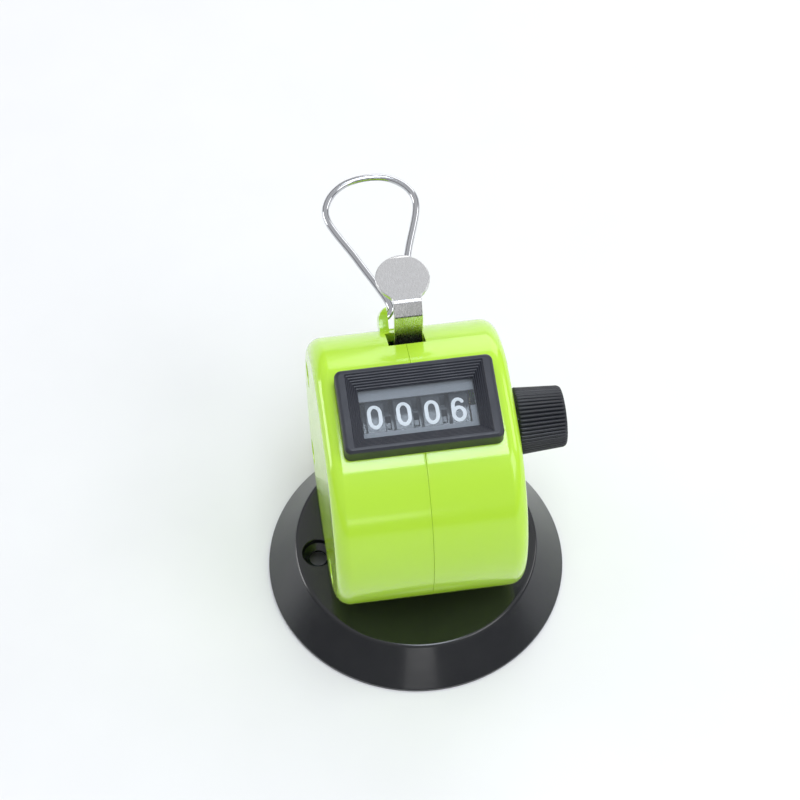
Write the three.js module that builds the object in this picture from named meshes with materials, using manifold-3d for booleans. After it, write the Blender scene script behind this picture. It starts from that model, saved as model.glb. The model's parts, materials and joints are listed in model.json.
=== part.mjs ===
// Hand tally counter on a desk base.
// Millimetres, +Z up. The origin is the centre of the base's underside.
// -Y is the side that faces the reader, +X is the knob's side.
import * as THREE from 'three';
import { mergeVertices } from 'three/addons/utils/BufferGeometryUtils.js';
import Module from 'manifold-3d';

const wasm = await Module();
wasm.setup();

// ---- driving dimensions -------------------------------------------------------------------

const RUNNING_GAP = 0.3; // between a turning piece and what it turns in
const REST_GAP = 0.3; // between pieces that rest on one another

const BASE = {
  radius: 30, rimRadius: 24.2, height: 8.4, edge: 0.8, plate: 2.6, wall: 3.5, hubRadius: 5,
};
const DESK_HOLE = { x: 20, radius: 1.8, headRadius: 3.2, headDepth: 1.2 };

// The case is a drum lying on its side: a circle in the YZ plane, drawn out along X.
const CASE = { y: 3.6, z: 32.5, radius: 26.2, halfWidth: 18.5, wall: 2, edge: 3, seam: 0.15 };
const CASE_FLOOR = BASE.height + REST_GAP;
const WINDOW_LEAN = THREE.MathUtils.degToRad(10); // the window leans this far towards the reader
const FACET = 24.6; // case centre to the flat that the window sits on

// Heights above the case centre, along the window's normal; sizes are half sizes.
const BEZEL = { low: FACET + REST_GAP, high: 28.2, halfX: 15, halfY: 8.55, corner: 0.8 };
const BEZEL_RIM = { halfX: 13, halfY: 7.4 };
const OPENING = { halfX: 10.95, halfY: 4.96, high: 25.83 };
const PLUG = { halfX: 12.1, halfY: 6.1, low: 23.6 };
const LENS = { halfX: 11.3, halfY: 5.3, low: 24.7, high: 25.5 };
const MASK = {
  low: 24.05, high: 24.4, slotLeft: -10.9, slotRight: 9.8, slotFront: -3.4, slotRear: 3.1,
  notchRight: 10.9, notchFront: -0.1,
};
const POCKET = { halfX: LENS.halfX + REST_GAP, halfY: LENS.halfY + REST_GAP };

// Number wheels, from the highest order on the left to the units on the right.
const WHEEL = { pitch: 5.33, firstX: -10.5, radius: 10, bandStart: 0.55, bandEnd: 4.13, end: 5.13 };
const WHEEL_AXIS = { y: 0.9, z: 46.6 };
const DIGIT_STEP = THREE.MathUtils.degToRad(36);
const UNITS_DIGIT = 6;

const GEAR = { teeth: 20, pitch: 9, tip: 9.8, root: 7.8 };
const PINION = { teeth: 8, pitch: 3.6, tip: 4.35, root: 2.5, bore: 1.3 };
const TOOTH = { tipWidth: 0.6, rootWidth: 1.4 };
const TRANSFER_RING = 7.6; // stays inside the pinions' tip circle
const PINION_AXIS = { y: WHEEL_AXIS.y, z: WHEEL_AXIS.z - GEAR.pitch - PINION.pitch };
const PINION_SIDE_GAP = 0.12;
const PINION_SHAFT_RADIUS = 1;

const RESET_SHAFT = {
  radius: 2, grooveWidth: 0.8, grooveDepth: 0.7, left: -15.7, insideKnob: 2,
};
const CLIP = { x: -15.1, thick: 0.5, inner: 1.7, outer: 3.4, halfOpening: 0.5 };
const CLIP_GROOVE = { x: -15.2, width: 0.8, radius: 1.4 };
const WASHER = { x: 15.1, thick: 0.5, outer: 4 };
const KNOB = {
  start: 19, end: 28.3, rootRadius: 6.5, tipRadius: 5.9, chamfer: 0.7, ribs: 48, rib: 0.35,
};

const RATCHET = { teeth: 10, tip: 6.2, root: 4.8, firstFace: THREE.MathUtils.degToRad(18) };
const RATCHET_PLATE = [9.72, 10.82];

const FRAME = { left: -13.9, right: 14.8, sheet: 1, floor: 23, floorFront: -8, floorRear: 21 };
const FRAME_SIDE = [
  [-8, FRAME.floor], [19, FRAME.floor], [19, 33], [12, 50], [2, 53], [-13, 49.4],
  [-17, 44], [-14, 32], [-12, 27]];
const PIN_OVERHANG = 0.5; // pins stand out of the frame's sides by this much
const TIE_RODS = { front: { y: -9.5, z: 28.5 }, rear: { y: 8.5, z: 27 } };
const TIE_ROD = { radius: 1, headRadius: 1.7, headThick: 0.6 };
const PIVOT = { y: -14, z: 44, radius: 1.5 };
const ARM = { left: -12.3, right: 12.4, sheet: 1, width: 4.4, eyeRadius: 2.6, middle: 40.6 };
const PAWL_AXIS = { y: 9.5, z: 41, radius: 0.8 };
const PAWL_PLATE = [9.85, 10.75];
const PAWL_EYE_RADIUS = 1.7;
const PAWL_PIN = { start: 9.75, headRadius: 1.4, headThick: 0.15 };
const PAWL_SPRING = { x: 11.1, radius: 1.35, length: 1, turns: 2.5, wire: 0.18 };
const CHECK_SPRING = { left: 9.8, right: 10.7, thick: 0.5 };

// Thumb lever: a strip that stands up through the slot and bends back into a round pad.
const STRIP = { x: 0.8, halfWidth: 2.75, y: 17.3, thick: 1, top: 64.4, bend: 1.6 };
const PAD = { x: 0.65, y: 24.9, radius: 5.2 };
const BRIDGE = { low: 39.5, high: 45.5 };
const SLOT = { x: 0.25, halfWidth: 3.6, front: 15.3, rear: 20.8 };

const RING_EYE = {
  x: 0.1, y: 27, z: 49.4, radius: 2, hole: 1.2, halfWidth: 4.05, gap: 2.2, corner: 3, wall: 0.45,
};
const RING = { wire: 0.7, length: 31.7, halfWidth: 9.1, neck: 1.15, pin: 3.3, tilt: 82.5, skew: 4.5 };

const SHELL_SCREWS = [{ y: -10.5, z: 18.4 }, { y: 17.7, z: 18.4 }, { y: 22.4, z: 39.3 }];
const SCREW = { radius: 1.1, headRadius: 2.2, headHeight: 1.4, bore: 1.45, bossRadius: 2.7 };
const SHELL_SCREW = { length: 27, boreEnd: 11, headSink: 0.6 };
const BASE_SCREW = { x: 9.5, y: CASE.y, length: 10.5, boreTop: 17.5, bossTop: 19 };

const RETURN_SPRING = { y: 16.4, low: 24.3, high: 39.1, radius: 2.3, wire: 0.35, turns: 6 };

// ---- materials ----------------------------------------------------------------------------

const LOOKS = {
  green: { color: 0x8fd400, roughness: 0.25, metalness: 0 },
  black: { color: 0x0b0c10, roughness: 0.3, metalness: 0 },
  slate: { color: 0x23262d, roughness: 0.5, metalness: 0 },
  clear: { color: 0xe8eef2, roughness: 0.05, metalness: 0 },
  steel: { color: 0xb9bcc0, roughness: 0.35, metalness: 1 },
  chrome: { color: 0xe6e8ea, roughness: 0.08, metalness: 1 },
  brass: { color: 0xc9a24a, roughness: 0.35, metalness: 1 },
  nylon: { color: 0xe9e6da, roughness: 0.6, metalness: 0 },
};

function material(look) {
  return new THREE.MeshStandardMaterial(LOOKS[look]);
}

// ---- solids -------------------------------------------------------------------------------

// Bare vertices, merged, with the faces turned outwards.
function closedMesh(geometry) {
  const bare = geometry.index ? geometry.toNonIndexed() : geometry.clone();
  bare.deleteAttribute('normal');
  bare.deleteAttribute('uv');
  const merged = mergeVertices(bare, 1e-4);
  const triangles = [];
  for (let i = 0; i < merged.index.count; i += 3) {
    const [a, b, c] = [0, 1, 2].map((k) => merged.index.getX(i + k));
    if (a !== b && b !== c && c !== a) triangles.push(a, b, c);
  }
  if (signedVolume(merged.attributes.position, triangles) < 0) triangles.reverse();
  return { vertProperties: new Float32Array(merged.attributes.position.array), triangles };
}

function signedVolume(position, triangles) {
  const [a, b, c] = [new THREE.Vector3(), new THREE.Vector3(), new THREE.Vector3()];
  let sum = 0;
  for (let i = 0; i < triangles.length; i += 3) {
    a.fromBufferAttribute(position, triangles[i]);
    b.fromBufferAttribute(position, triangles[i + 1]);
    c.fromBufferAttribute(position, triangles[i + 2]);
    sum += a.dot(b.cross(c));
  }
  return sum / 6;
}

function solid(geometry) {
  const { vertProperties, triangles } = closedMesh(geometry);
  const triVerts = new Uint32Array(triangles);
  return new wasm.Manifold(new wasm.Mesh({ numProp: 3, vertProperties, triVerts }));
}

function geometryOf(manifold) {
  const mesh = manifold.getMesh();
  const geometry = new THREE.BufferGeometry();
  const stride = mesh.numProp;
  const points = new Float32Array((mesh.vertProperties.length / stride) * 3);
  for (let i = 0; i < points.length / 3; i += 1) {
    for (let k = 0; k < 3; k += 1) points[i * 3 + k] = mesh.vertProperties[i * stride + k];
  }
  geometry.setAttribute('position', new THREE.BufferAttribute(points, 3));
  geometry.setIndex(new THREE.BufferAttribute(new Uint32Array(mesh.triVerts), 1));
  geometry.computeVertexNormals();
  return geometry;
}

function join(...parts) {
  return parts.reduce((whole, part) => whole.add(part));
}

function cut(whole, ...tools) {
  return tools.reduce((rest, tool) => rest.subtract(tool), whole);
}

// A shape drawn in (y, z) and drawn out along X from x0 to x1.
function plate(shape, x0, x1, options = {}) {
  const settings = { depth: x1 - x0, bevelEnabled: false, curveSegments: 6, ...options };
  const geometry = new THREE.ExtrudeGeometry(shape, settings);
  const axes = new THREE.Matrix4().makeBasis(
    new THREE.Vector3(0, 1, 0), new THREE.Vector3(0, 0, 1), new THREE.Vector3(1, 0, 0));
  geometry.applyMatrix4(axes);
  geometry.translate(x0, 0, 0);
  return solid(geometry);
}

function rodX(radius, x0, x1, at, segments = 16) {
  const geometry = new THREE.CylinderGeometry(radius, radius, x1 - x0, segments);
  geometry.rotateZ(-Math.PI / 2);
  geometry.translate((x0 + x1) / 2, at.y, at.z);
  return solid(geometry);
}

function rodZ(radius, z0, z1, x, y, segments = 16) {
  const geometry = new THREE.CylinderGeometry(radius, radius, z1 - z0, segments);
  geometry.rotateX(Math.PI / 2);
  geometry.translate(x, y, (z0 + z1) / 2);
  return solid(geometry);
}

function block(x0, x1, y0, y1, z0, z1) {
  const geometry = new THREE.BoxGeometry(x1 - x0, y1 - y0, z1 - z0);
  geometry.translate((x0 + x1) / 2, (y0 + y1) / 2, (z0 + z1) / 2);
  return solid(geometry);
}

// A closed profile of [radius, x] pairs turned about the X axis.
function turnedX(profile, segments) {
  const points = [...profile, profile[0]].map(([radius, x]) => new THREE.Vector2(radius, x));
  const geometry = new THREE.LatheGeometry(points, segments);
  geometry.rotateZ(-Math.PI / 2);
  return geometry;
}

function turnedZ(profile, segments) {
  const points = [...profile, profile[0]].map(([radius, z]) => new THREE.Vector2(radius, z));
  const geometry = new THREE.LatheGeometry(points, segments);
  geometry.rotateX(Math.PI / 2);
  return geometry;
}

function polygon(points) {
  return new THREE.Shape(points.map(([y, z]) => new THREE.Vector2(y, z)));
}

function hole(shape, at, radius) {
  const path = new THREE.Path();
  path.absarc(at.y, at.z, radius, 0, Math.PI * 2, true);
  shape.holes.push(path);
  return shape;
}

// ---- window frame of reference ------------------------------------------------------------

// The window's pieces are drawn with +Z as the window's normal and the case centre as origin.
function windowBlock(halfX, halfY, low, high) {
  return block(-halfX, halfX, -halfY, halfY, low, high);
}

function roundedRectangle(halfX, halfY, corner) {
  const shape = new THREE.Shape();
  shape.moveTo(-halfX + corner, -halfY);
  shape.absarc(halfX - corner, -halfY + corner, corner, -Math.PI / 2, 0);
  shape.absarc(halfX - corner, halfY - corner, corner, 0, Math.PI / 2);
  shape.absarc(-halfX + corner, halfY - corner, corner, Math.PI / 2, Math.PI);
  shape.absarc(-halfX + corner, -halfY + corner, corner, Math.PI, Math.PI * 1.5);
  return shape;
}

// A block whose section grows from the lower rectangle to the upper one.
function taperedWindowBlock(lower, upper, low, high) {
  const geometry = new THREE.BoxGeometry(2, 2, high - low);
  geometry.translate(0, 0, (low + high) / 2);
  const position = geometry.attributes.position;
  for (let i = 0; i < position.count; i += 1) {
    const size = position.getZ(i) > (low + high) / 2 ? upper : lower;
    position.setX(i, position.getX(i) * size.halfX);
    position.setY(i, position.getY(i) * size.halfY);
  }
  return solid(geometry);
}

// ---- base ---------------------------------------------------------------------------------

function makeBase() {
  const underside = BASE.height - BASE.plate;
  const profile = [
    [0, 0], [BASE.hubRadius, 0], [BASE.hubRadius, underside], [BASE.rimRadius - 2, underside],
    [BASE.radius - BASE.wall, 0],
    [BASE.radius, 0], [BASE.radius, BASE.edge], [BASE.rimRadius + 0.3, BASE.height - 0.35],
    [BASE.rimRadius - 0.1, BASE.height], [0, BASE.height],
  ];
  const disc = solid(turnedZ(profile, 60));
  const tools = [];
  for (const side of [-1, 1]) {
    const headLow = BASE.height - DESK_HOLE.headDepth;
    tools.push(rodZ(DESK_HOLE.radius, 0, BASE.height + 1, side * DESK_HOLE.x, 0));
    tools.push(rodZ(DESK_HOLE.headRadius, headLow, BASE.height + 1, side * DESK_HOLE.x, 0, 24));
    tools.push(rodZ(SCREW.bore, 0, BASE.height + 1, side * BASE_SCREW.x, BASE_SCREW.y, 16));
  }
  return cut(disc, ...tools);
}

// ---- case shells --------------------------------------------------------------------------

// The case's outline at a given inset: the circle, cut off by the window flat and the floor.
function caseOutline(inset) {
  const points = [];
  const steps = 72;
  for (let i = 0; i < steps; i += 1) {
    const angle = (i / steps) * Math.PI * 2;
    const fromWindow = Math.cos(angle - Math.PI / 2 - WINDOW_LEAN);
    const fromFloor = Math.cos(angle + Math.PI / 2);
    let reach = CASE.radius - inset;
    if (fromWindow > 0) reach = Math.min(reach, (FACET - inset) / fromWindow);
    if (fromFloor > 0) reach = Math.min(reach, (CASE.z - CASE_FLOOR - inset) / fromFloor);
    points.push([CASE.y + reach * Math.cos(angle), CASE.z + reach * Math.sin(angle)]);
  }
  return polygon(points);
}

function caseBody() {
  const straight = CASE.halfWidth - CASE.edge;
  const rounded = {
    bevelEnabled: true, bevelThickness: CASE.edge, bevelSize: CASE.edge,
    bevelOffset: -CASE.edge, bevelSegments: 3,
  };
  const outside = plate(caseOutline(0), -straight, straight, rounded);
  const insideHalf = CASE.halfWidth - CASE.wall;
  const inside = plate(caseOutline(CASE.wall), -insideHalf, insideHalf);
  return cut(outside, inside);
}

// Eye for the finger ring: two rounded ears side by side, each with a blind hole that faces the
// other one. The lug leans out along the drum's radius.
function ringEye() {
  const { x, y, z, radius, hole, halfWidth, gap, corner, wall } = RING_EYE;
  const [left, right] = [x - halfWidth, x + halfWidth];
  const outward = new THREE.Vector2(y - CASE.y, z - CASE.z).normalize();
  const reach = Math.hypot(y - CASE.y, z - CASE.z);
  const spot = (along, side) => [
    CASE.y + outward.x * along - outward.y * side, CASE.z + outward.y * along + outward.x * side];
  const inner = CASE.radius - CASE.wall / 2;
  const root = radius + 0.4;
  const foot = polygon([
    spot(inner, -root), spot(CASE.radius + 0.3, -root), spot(reach, -radius),
    spot(reach, radius), spot(CASE.radius + 0.3, root), spot(inner, root)]);
  const body = join(plate(foot, left, right), rodX(radius, left, right, RING_EYE, 24));
  const top = reach + radius;
  const face = new THREE.ExtrudeGeometry(
    roundedRectangle(halfWidth, top, corner),
    { depth: root * 4, bevelEnabled: false, curveSegments: 8 });
  face.translate(x, 0, -root * 2);
  const slot = new THREE.BoxGeometry(gap * 2, radius * 4, root * 4);
  slot.translate(x, CASE.radius + 0.1 + radius * 2, 0);
  for (const geometry of [face, slot]) {
    geometry.rotateX(Math.atan2(outward.y, outward.x));
    geometry.translate(0, CASE.y, CASE.z);
  }
  const bore = rodX(hole, left + wall, right - wall, RING_EYE, 16);
  return cut(body.intersect(solid(face)), solid(slot), bore);
}

function shellBosses(side) {
  const wallX = CASE.halfWidth - CASE.wall / 2;
  const seam = CASE.seam + 0.05;
  const low = side < 0 ? -wallX : seam;
  const high = side < 0 ? -seam : wallX;
  const bosses = SHELL_SCREWS.map((at) => rodX(SCREW.bossRadius, low, high, at, 16));
  const foot = rodZ(
    SCREW.bossRadius, CASE_FLOOR + CASE.wall / 4, BASE_SCREW.bossTop,
    side * BASE_SCREW.x, BASE_SCREW.y, 16);
  return join(foot, ...bosses);
}

function windowHole() {
  const geometry = new THREE.BoxGeometry(
    (PLUG.halfX + REST_GAP) * 2, (PLUG.halfY + REST_GAP) * 2, CASE.wall * 5);
  geometry.translate(0, 0, FACET);
  geometry.rotateX(WINDOW_LEAN);
  geometry.translate(0, CASE.y, CASE.z);
  return solid(geometry);
}

function shellHoles(side) {
  const outer = CASE.halfWidth;
  const headFloor = -outer + SCREW.headHeight + SHELL_SCREW.headSink;
  const tools = [];
  for (const at of SHELL_SCREWS) {
    if (side < 0) {
      tools.push(rodX(SCREW.bore, -outer - 1, 0, at, 16));
      tools.push(rodX(SCREW.headRadius + REST_GAP, -outer - 1, headFloor, at));
    } else {
      tools.push(rodX(SCREW.bore, -1, SHELL_SCREW.boreEnd, at, 16));
    }
  }
  tools.push(rodZ(SCREW.bore, 0, BASE_SCREW.boreTop, side * BASE_SCREW.x, BASE_SCREW.y, 16));
  tools.push(windowHole());
  const [slotLow, slotHigh] = [SLOT.x - SLOT.halfWidth, SLOT.x + SLOT.halfWidth];
  tools.push(block(slotLow, slotHigh, SLOT.front, SLOT.rear, 48, 60));
  if (side > 0) tools.push(rodX(RESET_SHAFT.radius + RUNNING_GAP, 10, outer + 1, WHEEL_AXIS));
  return tools;
}

function makeShell(side, body) {
  const reach = CASE.radius * 2;
  const low = side < 0 ? -reach : CASE.seam;
  const high = side < 0 ? -CASE.seam : reach;
  const half = block(low, high, CASE.y - reach, CASE.y + reach, CASE.z - reach, CASE.z + reach);
  const inside = plate(caseOutline(CASE.wall / 2), -reach, reach);
  const bosses = shellBosses(side).intersect(inside);
  return cut(join(body.intersect(half), bosses), ...shellHoles(side));
}

// A pan-head screw with its shank along +Z from the head's underside at the origin.
function screwSolid(length) {
  const { radius, headRadius, headHeight } = SCREW;
  const profile = [
    [0, -headHeight], [headRadius - 0.5, -headHeight], [headRadius, -headHeight + 0.5],
    [headRadius, 0], [radius, 0], [radius, length - 0.8], [radius * 0.4, length], [0, length],
  ];
  const recess = new THREE.BoxGeometry(headRadius * 1.2, 0.6, 1.2);
  recess.translate(0, 0, -headHeight);
  const crossed = recess.clone().rotateZ(Math.PI / 2);
  return cut(solid(turnedZ(profile, 16)), solid(recess), solid(crossed));
}

// ---- window -------------------------------------------------------------------------------

function makeBezel() {
  const flange = new THREE.ExtrudeGeometry(
    roundedRectangle(BEZEL.halfX, BEZEL.halfY, BEZEL.corner),
    { depth: BEZEL.high - BEZEL.low, bevelEnabled: false, curveSegments: 3 });
  flange.translate(0, 0, BEZEL.low);
  const plug = windowBlock(PLUG.halfX, PLUG.halfY, PLUG.low, BEZEL.low + 0.5);
  return cut(
    join(solid(flange), plug),
    taperedWindowBlock(OPENING, BEZEL_RIM, OPENING.high, BEZEL.high),
    taperedWindowBlock(BEZEL_RIM, BEZEL_RIM, BEZEL.high, BEZEL.high + 1),
    windowBlock(OPENING.halfX, OPENING.halfY, LENS.low, BEZEL.high),
    windowBlock(POCKET.halfX, POCKET.halfY, PLUG.low - 1, OPENING.high));
}

function makeLens() {
  return windowBlock(LENS.halfX, LENS.halfY, LENS.low, LENS.high);
}

function makeMask() {
  const { low, high, slotLeft, slotRight, slotFront, slotRear, notchRight, notchFront } = MASK;
  const sheet = windowBlock(LENS.halfX, LENS.halfY, low, high);
  return cut(
    sheet,
    block(slotLeft, slotRight, slotFront, slotRear, low - 1, high + 1),
    block(slotRight - 1, notchRight, notchFront, slotRear, low - 1, high + 1));
}

// ---- number wheels and carry gearing ------------------------------------------------------

// Tooth outline between two radii, centred on an angle, as points in order of rising angle.
function toothPoints(angle, root, tip, tipWidth, rootWidth) {
  const at = (radius, offset) => {
    const turn = angle + offset / radius;
    return [radius * Math.cos(turn), radius * Math.sin(turn)];
  };
  return [
    at(root, -rootWidth / 2), at(tip, -tipWidth / 2), at(tip, tipWidth / 2), at(root, rootWidth / 2)];
}

function gearOutline(teeth, root, tip, firstAngle) {
  const points = [];
  for (let i = 0; i < teeth; i += 1) {
    const angle = firstAngle + (i / teeth) * Math.PI * 2;
    points.push(...toothPoints(angle, root, tip, TOOTH.tipWidth, TOOTH.rootWidth));
  }
  return polygon(points);
}

// The 20 teeth stand half a pitch to each side of the line down to the pinions.
const GEAR_PITCH_ANGLE = (Math.PI * 2) / GEAR.teeth;
const FIRST_TOOTH = -Math.PI / 2 + GEAR_PITCH_ANGLE / 2;

function wheelDrum() {
  const bore = RESET_SHAFT.radius + RUNNING_GAP;
  const profile = [
    [bore, 0], [TRANSFER_RING, 0], [TRANSFER_RING, WHEEL.bandStart], [WHEEL.radius, WHEEL.bandStart],
    [WHEEL.radius, WHEEL.bandEnd], [bore, WHEEL.bandEnd],
  ];
  return solid(turnedX(profile, 40));
}

function driveGear() {
  const bore = RESET_SHAFT.radius + RUNNING_GAP;
  const outline = gearOutline(GEAR.teeth, GEAR.root, GEAR.tip, FIRST_TOOTH);
  return plate(hole(outline, { y: 0, z: 0 }, bore), WHEEL.bandEnd - 0.2, WHEEL.end);
}

// The two teeth that carry into the next wheel, just past the pinion when the wheel shows 0.
function transferTeeth() {
  const teeth = [-1, -2].map((step) => {
    const angle = FIRST_TOOTH + step * GEAR_PITCH_ANGLE;
    const outline = toothPoints(angle, TRANSFER_RING - 0.6, GEAR.tip, TOOTH.tipWidth, TOOTH.rootWidth);
    return plate(polygon(outline), 0, WHEEL.bandStart + 0.2);
  });
  return join(...teeth);
}

function makeWheel({ gear, transfer }) {
  const pieces = [wheelDrum()];
  if (gear) pieces.push(driveGear());
  if (transfer) pieces.push(transferTeeth());
  return join(...pieces);
}

// Eight teeth where it meets the higher wheel, every other one where it meets the lower wheel.
function makePinion() {
  const whole = gearOutline(PINION.teeth, PINION.root, PINION.tip, Math.PI / 2);
  const alternate = gearOutline(PINION.teeth / 2, PINION.root, PINION.tip, Math.PI / 4);
  const gearWidth = WHEEL.end - WHEEL.bandEnd;
  const total = WHEEL.pitch - WHEEL.bandEnd + WHEEL.bandStart;
  const start = PINION_SIDE_GAP;
  const centre = { y: 0, z: 0 };
  return join(
    plate(hole(whole, centre, PINION.bore), start, gearWidth + 0.05),
    plate(hole(alternate, centre, PINION.bore), start + 0.2, total - PINION_SIDE_GAP));
}

function makeRatchet() {
  const points = [];
  const step = (Math.PI * 2) / RATCHET.teeth;
  for (let i = 0; i < RATCHET.teeth; i += 1) {
    const face = RATCHET.firstFace + i * step;
    points.push([RATCHET.tip * Math.cos(face), RATCHET.tip * Math.sin(face)]);
    points.push([RATCHET.root * Math.cos(face), RATCHET.root * Math.sin(face)]);
  }
  const shape = hole(polygon(points), { y: 0, z: 0 }, RESET_SHAFT.radius + RUNNING_GAP);
  return plate(shape, ...RATCHET_PLATE);
}

// ---- reset shaft and knob -----------------------------------------------------------------

function makeResetShaft() {
  const { radius, grooveWidth, grooveDepth, left, insideKnob } = RESET_SHAFT;
  const shaft = rodX(radius, left, KNOB.end - insideKnob, { y: 0, z: 0 }, 24);
  const groove = block(
    WHEEL.firstX, RATCHET_PLATE[1], -grooveWidth / 2, grooveWidth / 2,
    radius - grooveDepth, radius + 1);
  const { x, width, radius: inner } = CLIP_GROOVE;
  const outside = radius + 1;
  const clipGroove = turnedX(
    [[inner, x], [outside, x], [outside, x + width], [inner, x + width]], 24);
  return cut(shaft, groove, solid(clipGroove));
}

function makeKnob() {
  const bore = RESET_SHAFT.radius + REST_GAP;
  const { start, end, rootRadius, tipRadius, chamfer } = KNOB;
  const boreEnd = end - RESET_SHAFT.insideKnob + REST_GAP;
  const profile = [
    [0, boreEnd], [bore, boreEnd], [bore, start], [rootRadius, start],
    [tipRadius, end - chamfer], [tipRadius - chamfer, end], [0, end],
  ];
  const geometry = turnedX(profile, KNOB.ribs * 2);
  const position = geometry.attributes.position;
  for (let i = 0; i < position.count; i += 1) {
    const [y, z] = [position.getY(i), position.getZ(i)];
    const radius = Math.hypot(y, z);
    const segment = Math.round((Math.atan2(z, y) / Math.PI) * KNOB.ribs);
    const onGrip = radius > tipRadius - 0.1;
    const scale = onGrip && segment % 2 !== 0 ? (radius - KNOB.rib) / radius : 1;
    position.setY(i, y * scale);
    position.setZ(i, z * scale);
  }
  return solid(geometry);
}

function makeShaftClip() {
  const { x, thick, inner, outer, halfOpening } = CLIP;
  const ring = new THREE.Shape();
  ring.absarc(0, 0, outer, halfOpening, Math.PI * 2 - halfOpening);
  ring.absarc(0, 0, inner, Math.PI * 2 - halfOpening, halfOpening, true);
  return plate(ring, x, x + thick);
}

function makeFrictionWasher() {
  const inner = RESET_SHAFT.radius + REST_GAP;
  const { x, thick, outer } = WASHER;
  return solid(turnedX([[inner, x], [outer, x], [outer, x + thick], [inner, x + thick]], 24));
}

// ---- mechanism frame ----------------------------------------------------------------------

function frameSide(x0) {
  const shape = polygon(FRAME_SIDE);
  const gap = RUNNING_GAP;
  hole(shape, WHEEL_AXIS, RESET_SHAFT.radius + gap);
  hole(shape, PINION_AXIS, PINION_SHAFT_RADIUS + gap);
  hole(shape, PIVOT, PIVOT.radius + gap);
  hole(shape, TIE_RODS.front, TIE_ROD.radius + gap);
  hole(shape, TIE_RODS.rear, TIE_ROD.radius + gap);
  return plate(shape, x0, x0 + FRAME.sheet);
}

function makeFrame() {
  const { left, right, sheet, floor, floorFront, floorRear } = FRAME;
  const floorSheet = block(left, right, floorFront, floorRear, floor, floor + sheet);
  return join(frameSide(left), frameSide(right - sheet), floorSheet);
}

// A rod with a riveted head at each end, outside the frame's sides.
function makeTieRod(at) {
  const [low, high] = [FRAME.left - REST_GAP, FRAME.right + REST_GAP];
  const { radius, headRadius, headThick } = TIE_ROD;
  return join(
    rodX(radius, low - headThick, high + headThick, at, 14),
    rodX(headRadius, low - headThick, low, at, 14),
    rodX(headRadius, high, high + headThick, at, 14));
}

function makePinionShaft() {
  const [low, high] = [FRAME.left - PIN_OVERHANG, FRAME.right + PIN_OVERHANG];
  return rodX(PINION_SHAFT_RADIUS, low, high, PINION_AXIS, 16);
}

function makePivotPin() {
  const [low, high] = [FRAME.left - PIN_OVERHANG, FRAME.right + PIN_OVERHANG];
  return rodX(PIVOT.radius, low, high, PIVOT, 20);
}

// ---- thumb lever and pawl -----------------------------------------------------------------

// One side arm: from the pivot, under the wheels' shaft, to the bridge behind the wheels.
function leverArm(x0) {
  const half = ARM.width / 2;
  const rear = STRIP.y + STRIP.thick;
  const shape = new THREE.Shape();
  shape.absarc(PIVOT.y, PIVOT.z, ARM.eyeRadius, Math.PI * 0.4, Math.PI * 1.3);
  shape.lineTo(-6, ARM.middle - half);
  shape.lineTo(2, ARM.middle - half);
  shape.lineTo(PAWL_AXIS.y, 38.4);
  shape.lineTo(rear, BRIDGE.low);
  shape.lineTo(rear, BRIDGE.high);
  shape.lineTo(STRIP.y - 2, BRIDGE.high);
  shape.lineTo(PAWL_AXIS.y, 43.6);
  shape.lineTo(2, ARM.middle + half);
  shape.lineTo(-6, ARM.middle + half);
  hole(shape, PIVOT, PIVOT.radius + RUNNING_GAP);
  if (x0 > 0) hole(shape, PAWL_AXIS, PAWL_AXIS.radius + REST_GAP);
  return plate(shape, x0, x0 + ARM.sheet);
}

// The strip's side view: up through the slot, round the bend and back along the pad.
function stripOutline() {
  const { y, thick, top, bend } = STRIP;
  const inner = bend - thick;
  const shape = new THREE.Shape();
  shape.moveTo(y + thick, BRIDGE.high - 0.5);
  shape.lineTo(y + thick, top - bend);
  shape.absarc(y + bend, top - bend, inner, Math.PI, Math.PI / 2, true);
  shape.lineTo(PAD.y, top - thick);
  shape.lineTo(PAD.y, top);
  shape.lineTo(y + bend, top);
  shape.absarc(y + bend, top - bend, bend, Math.PI / 2, Math.PI);
  shape.lineTo(y, BRIDGE.high - 0.5);
  return shape;
}

function makeLever() {
  const { y, thick, top } = STRIP;
  const bridge = block(
    ARM.left + 0.5, ARM.right + 0.5, y, y + thick, BRIDGE.low, BRIDGE.high);
  const spring = RETURN_SPRING.y;
  const springFoot = block(-3.2, 3.2, spring - 3, spring + 2.8, BRIDGE.low, BRIDGE.low + thick);
  return join(
    leverArm(ARM.left), leverArm(ARM.right), bridge, springFoot,
    plate(stripOutline(), STRIP.x - STRIP.halfWidth, STRIP.x + STRIP.halfWidth),
    rodZ(PAD.radius, top - thick, top, PAD.x, PAD.y, 32));
}

// Hook that reaches up outside the ratchet and lies on top of one of its teeth.
function makePawl() {
  const face = RATCHET.firstFace;
  const nose = (radius, degrees) => {
    const angle = face + THREE.MathUtils.degToRad(degrees);
    return [WHEEL_AXIS.y + radius * Math.cos(angle), WHEEL_AXIS.z + radius * Math.sin(angle)];
  };
  const outline = polygon([
    [PAWL_AXIS.y - PAWL_EYE_RADIUS, PAWL_AXIS.z], [7.75, 45], nose(6.75, 4), nose(5.3, 4), nose(5.75, 15),
    [8.6, 51], [9.6, 49.5], [9.9, 45], [PAWL_AXIS.y + PAWL_EYE_RADIUS, PAWL_AXIS.z]]);
  const eye = rodX(PAWL_EYE_RADIUS, ...PAWL_PLATE, PAWL_AXIS, 18);
  const [low, high] = PAWL_PLATE;
  const bore = rodX(PAWL_AXIS.radius + RUNNING_GAP, low - 1, high + 1, PAWL_AXIS, 16);
  return cut(join(plate(outline, ...PAWL_PLATE), eye), bore);
}

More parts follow.
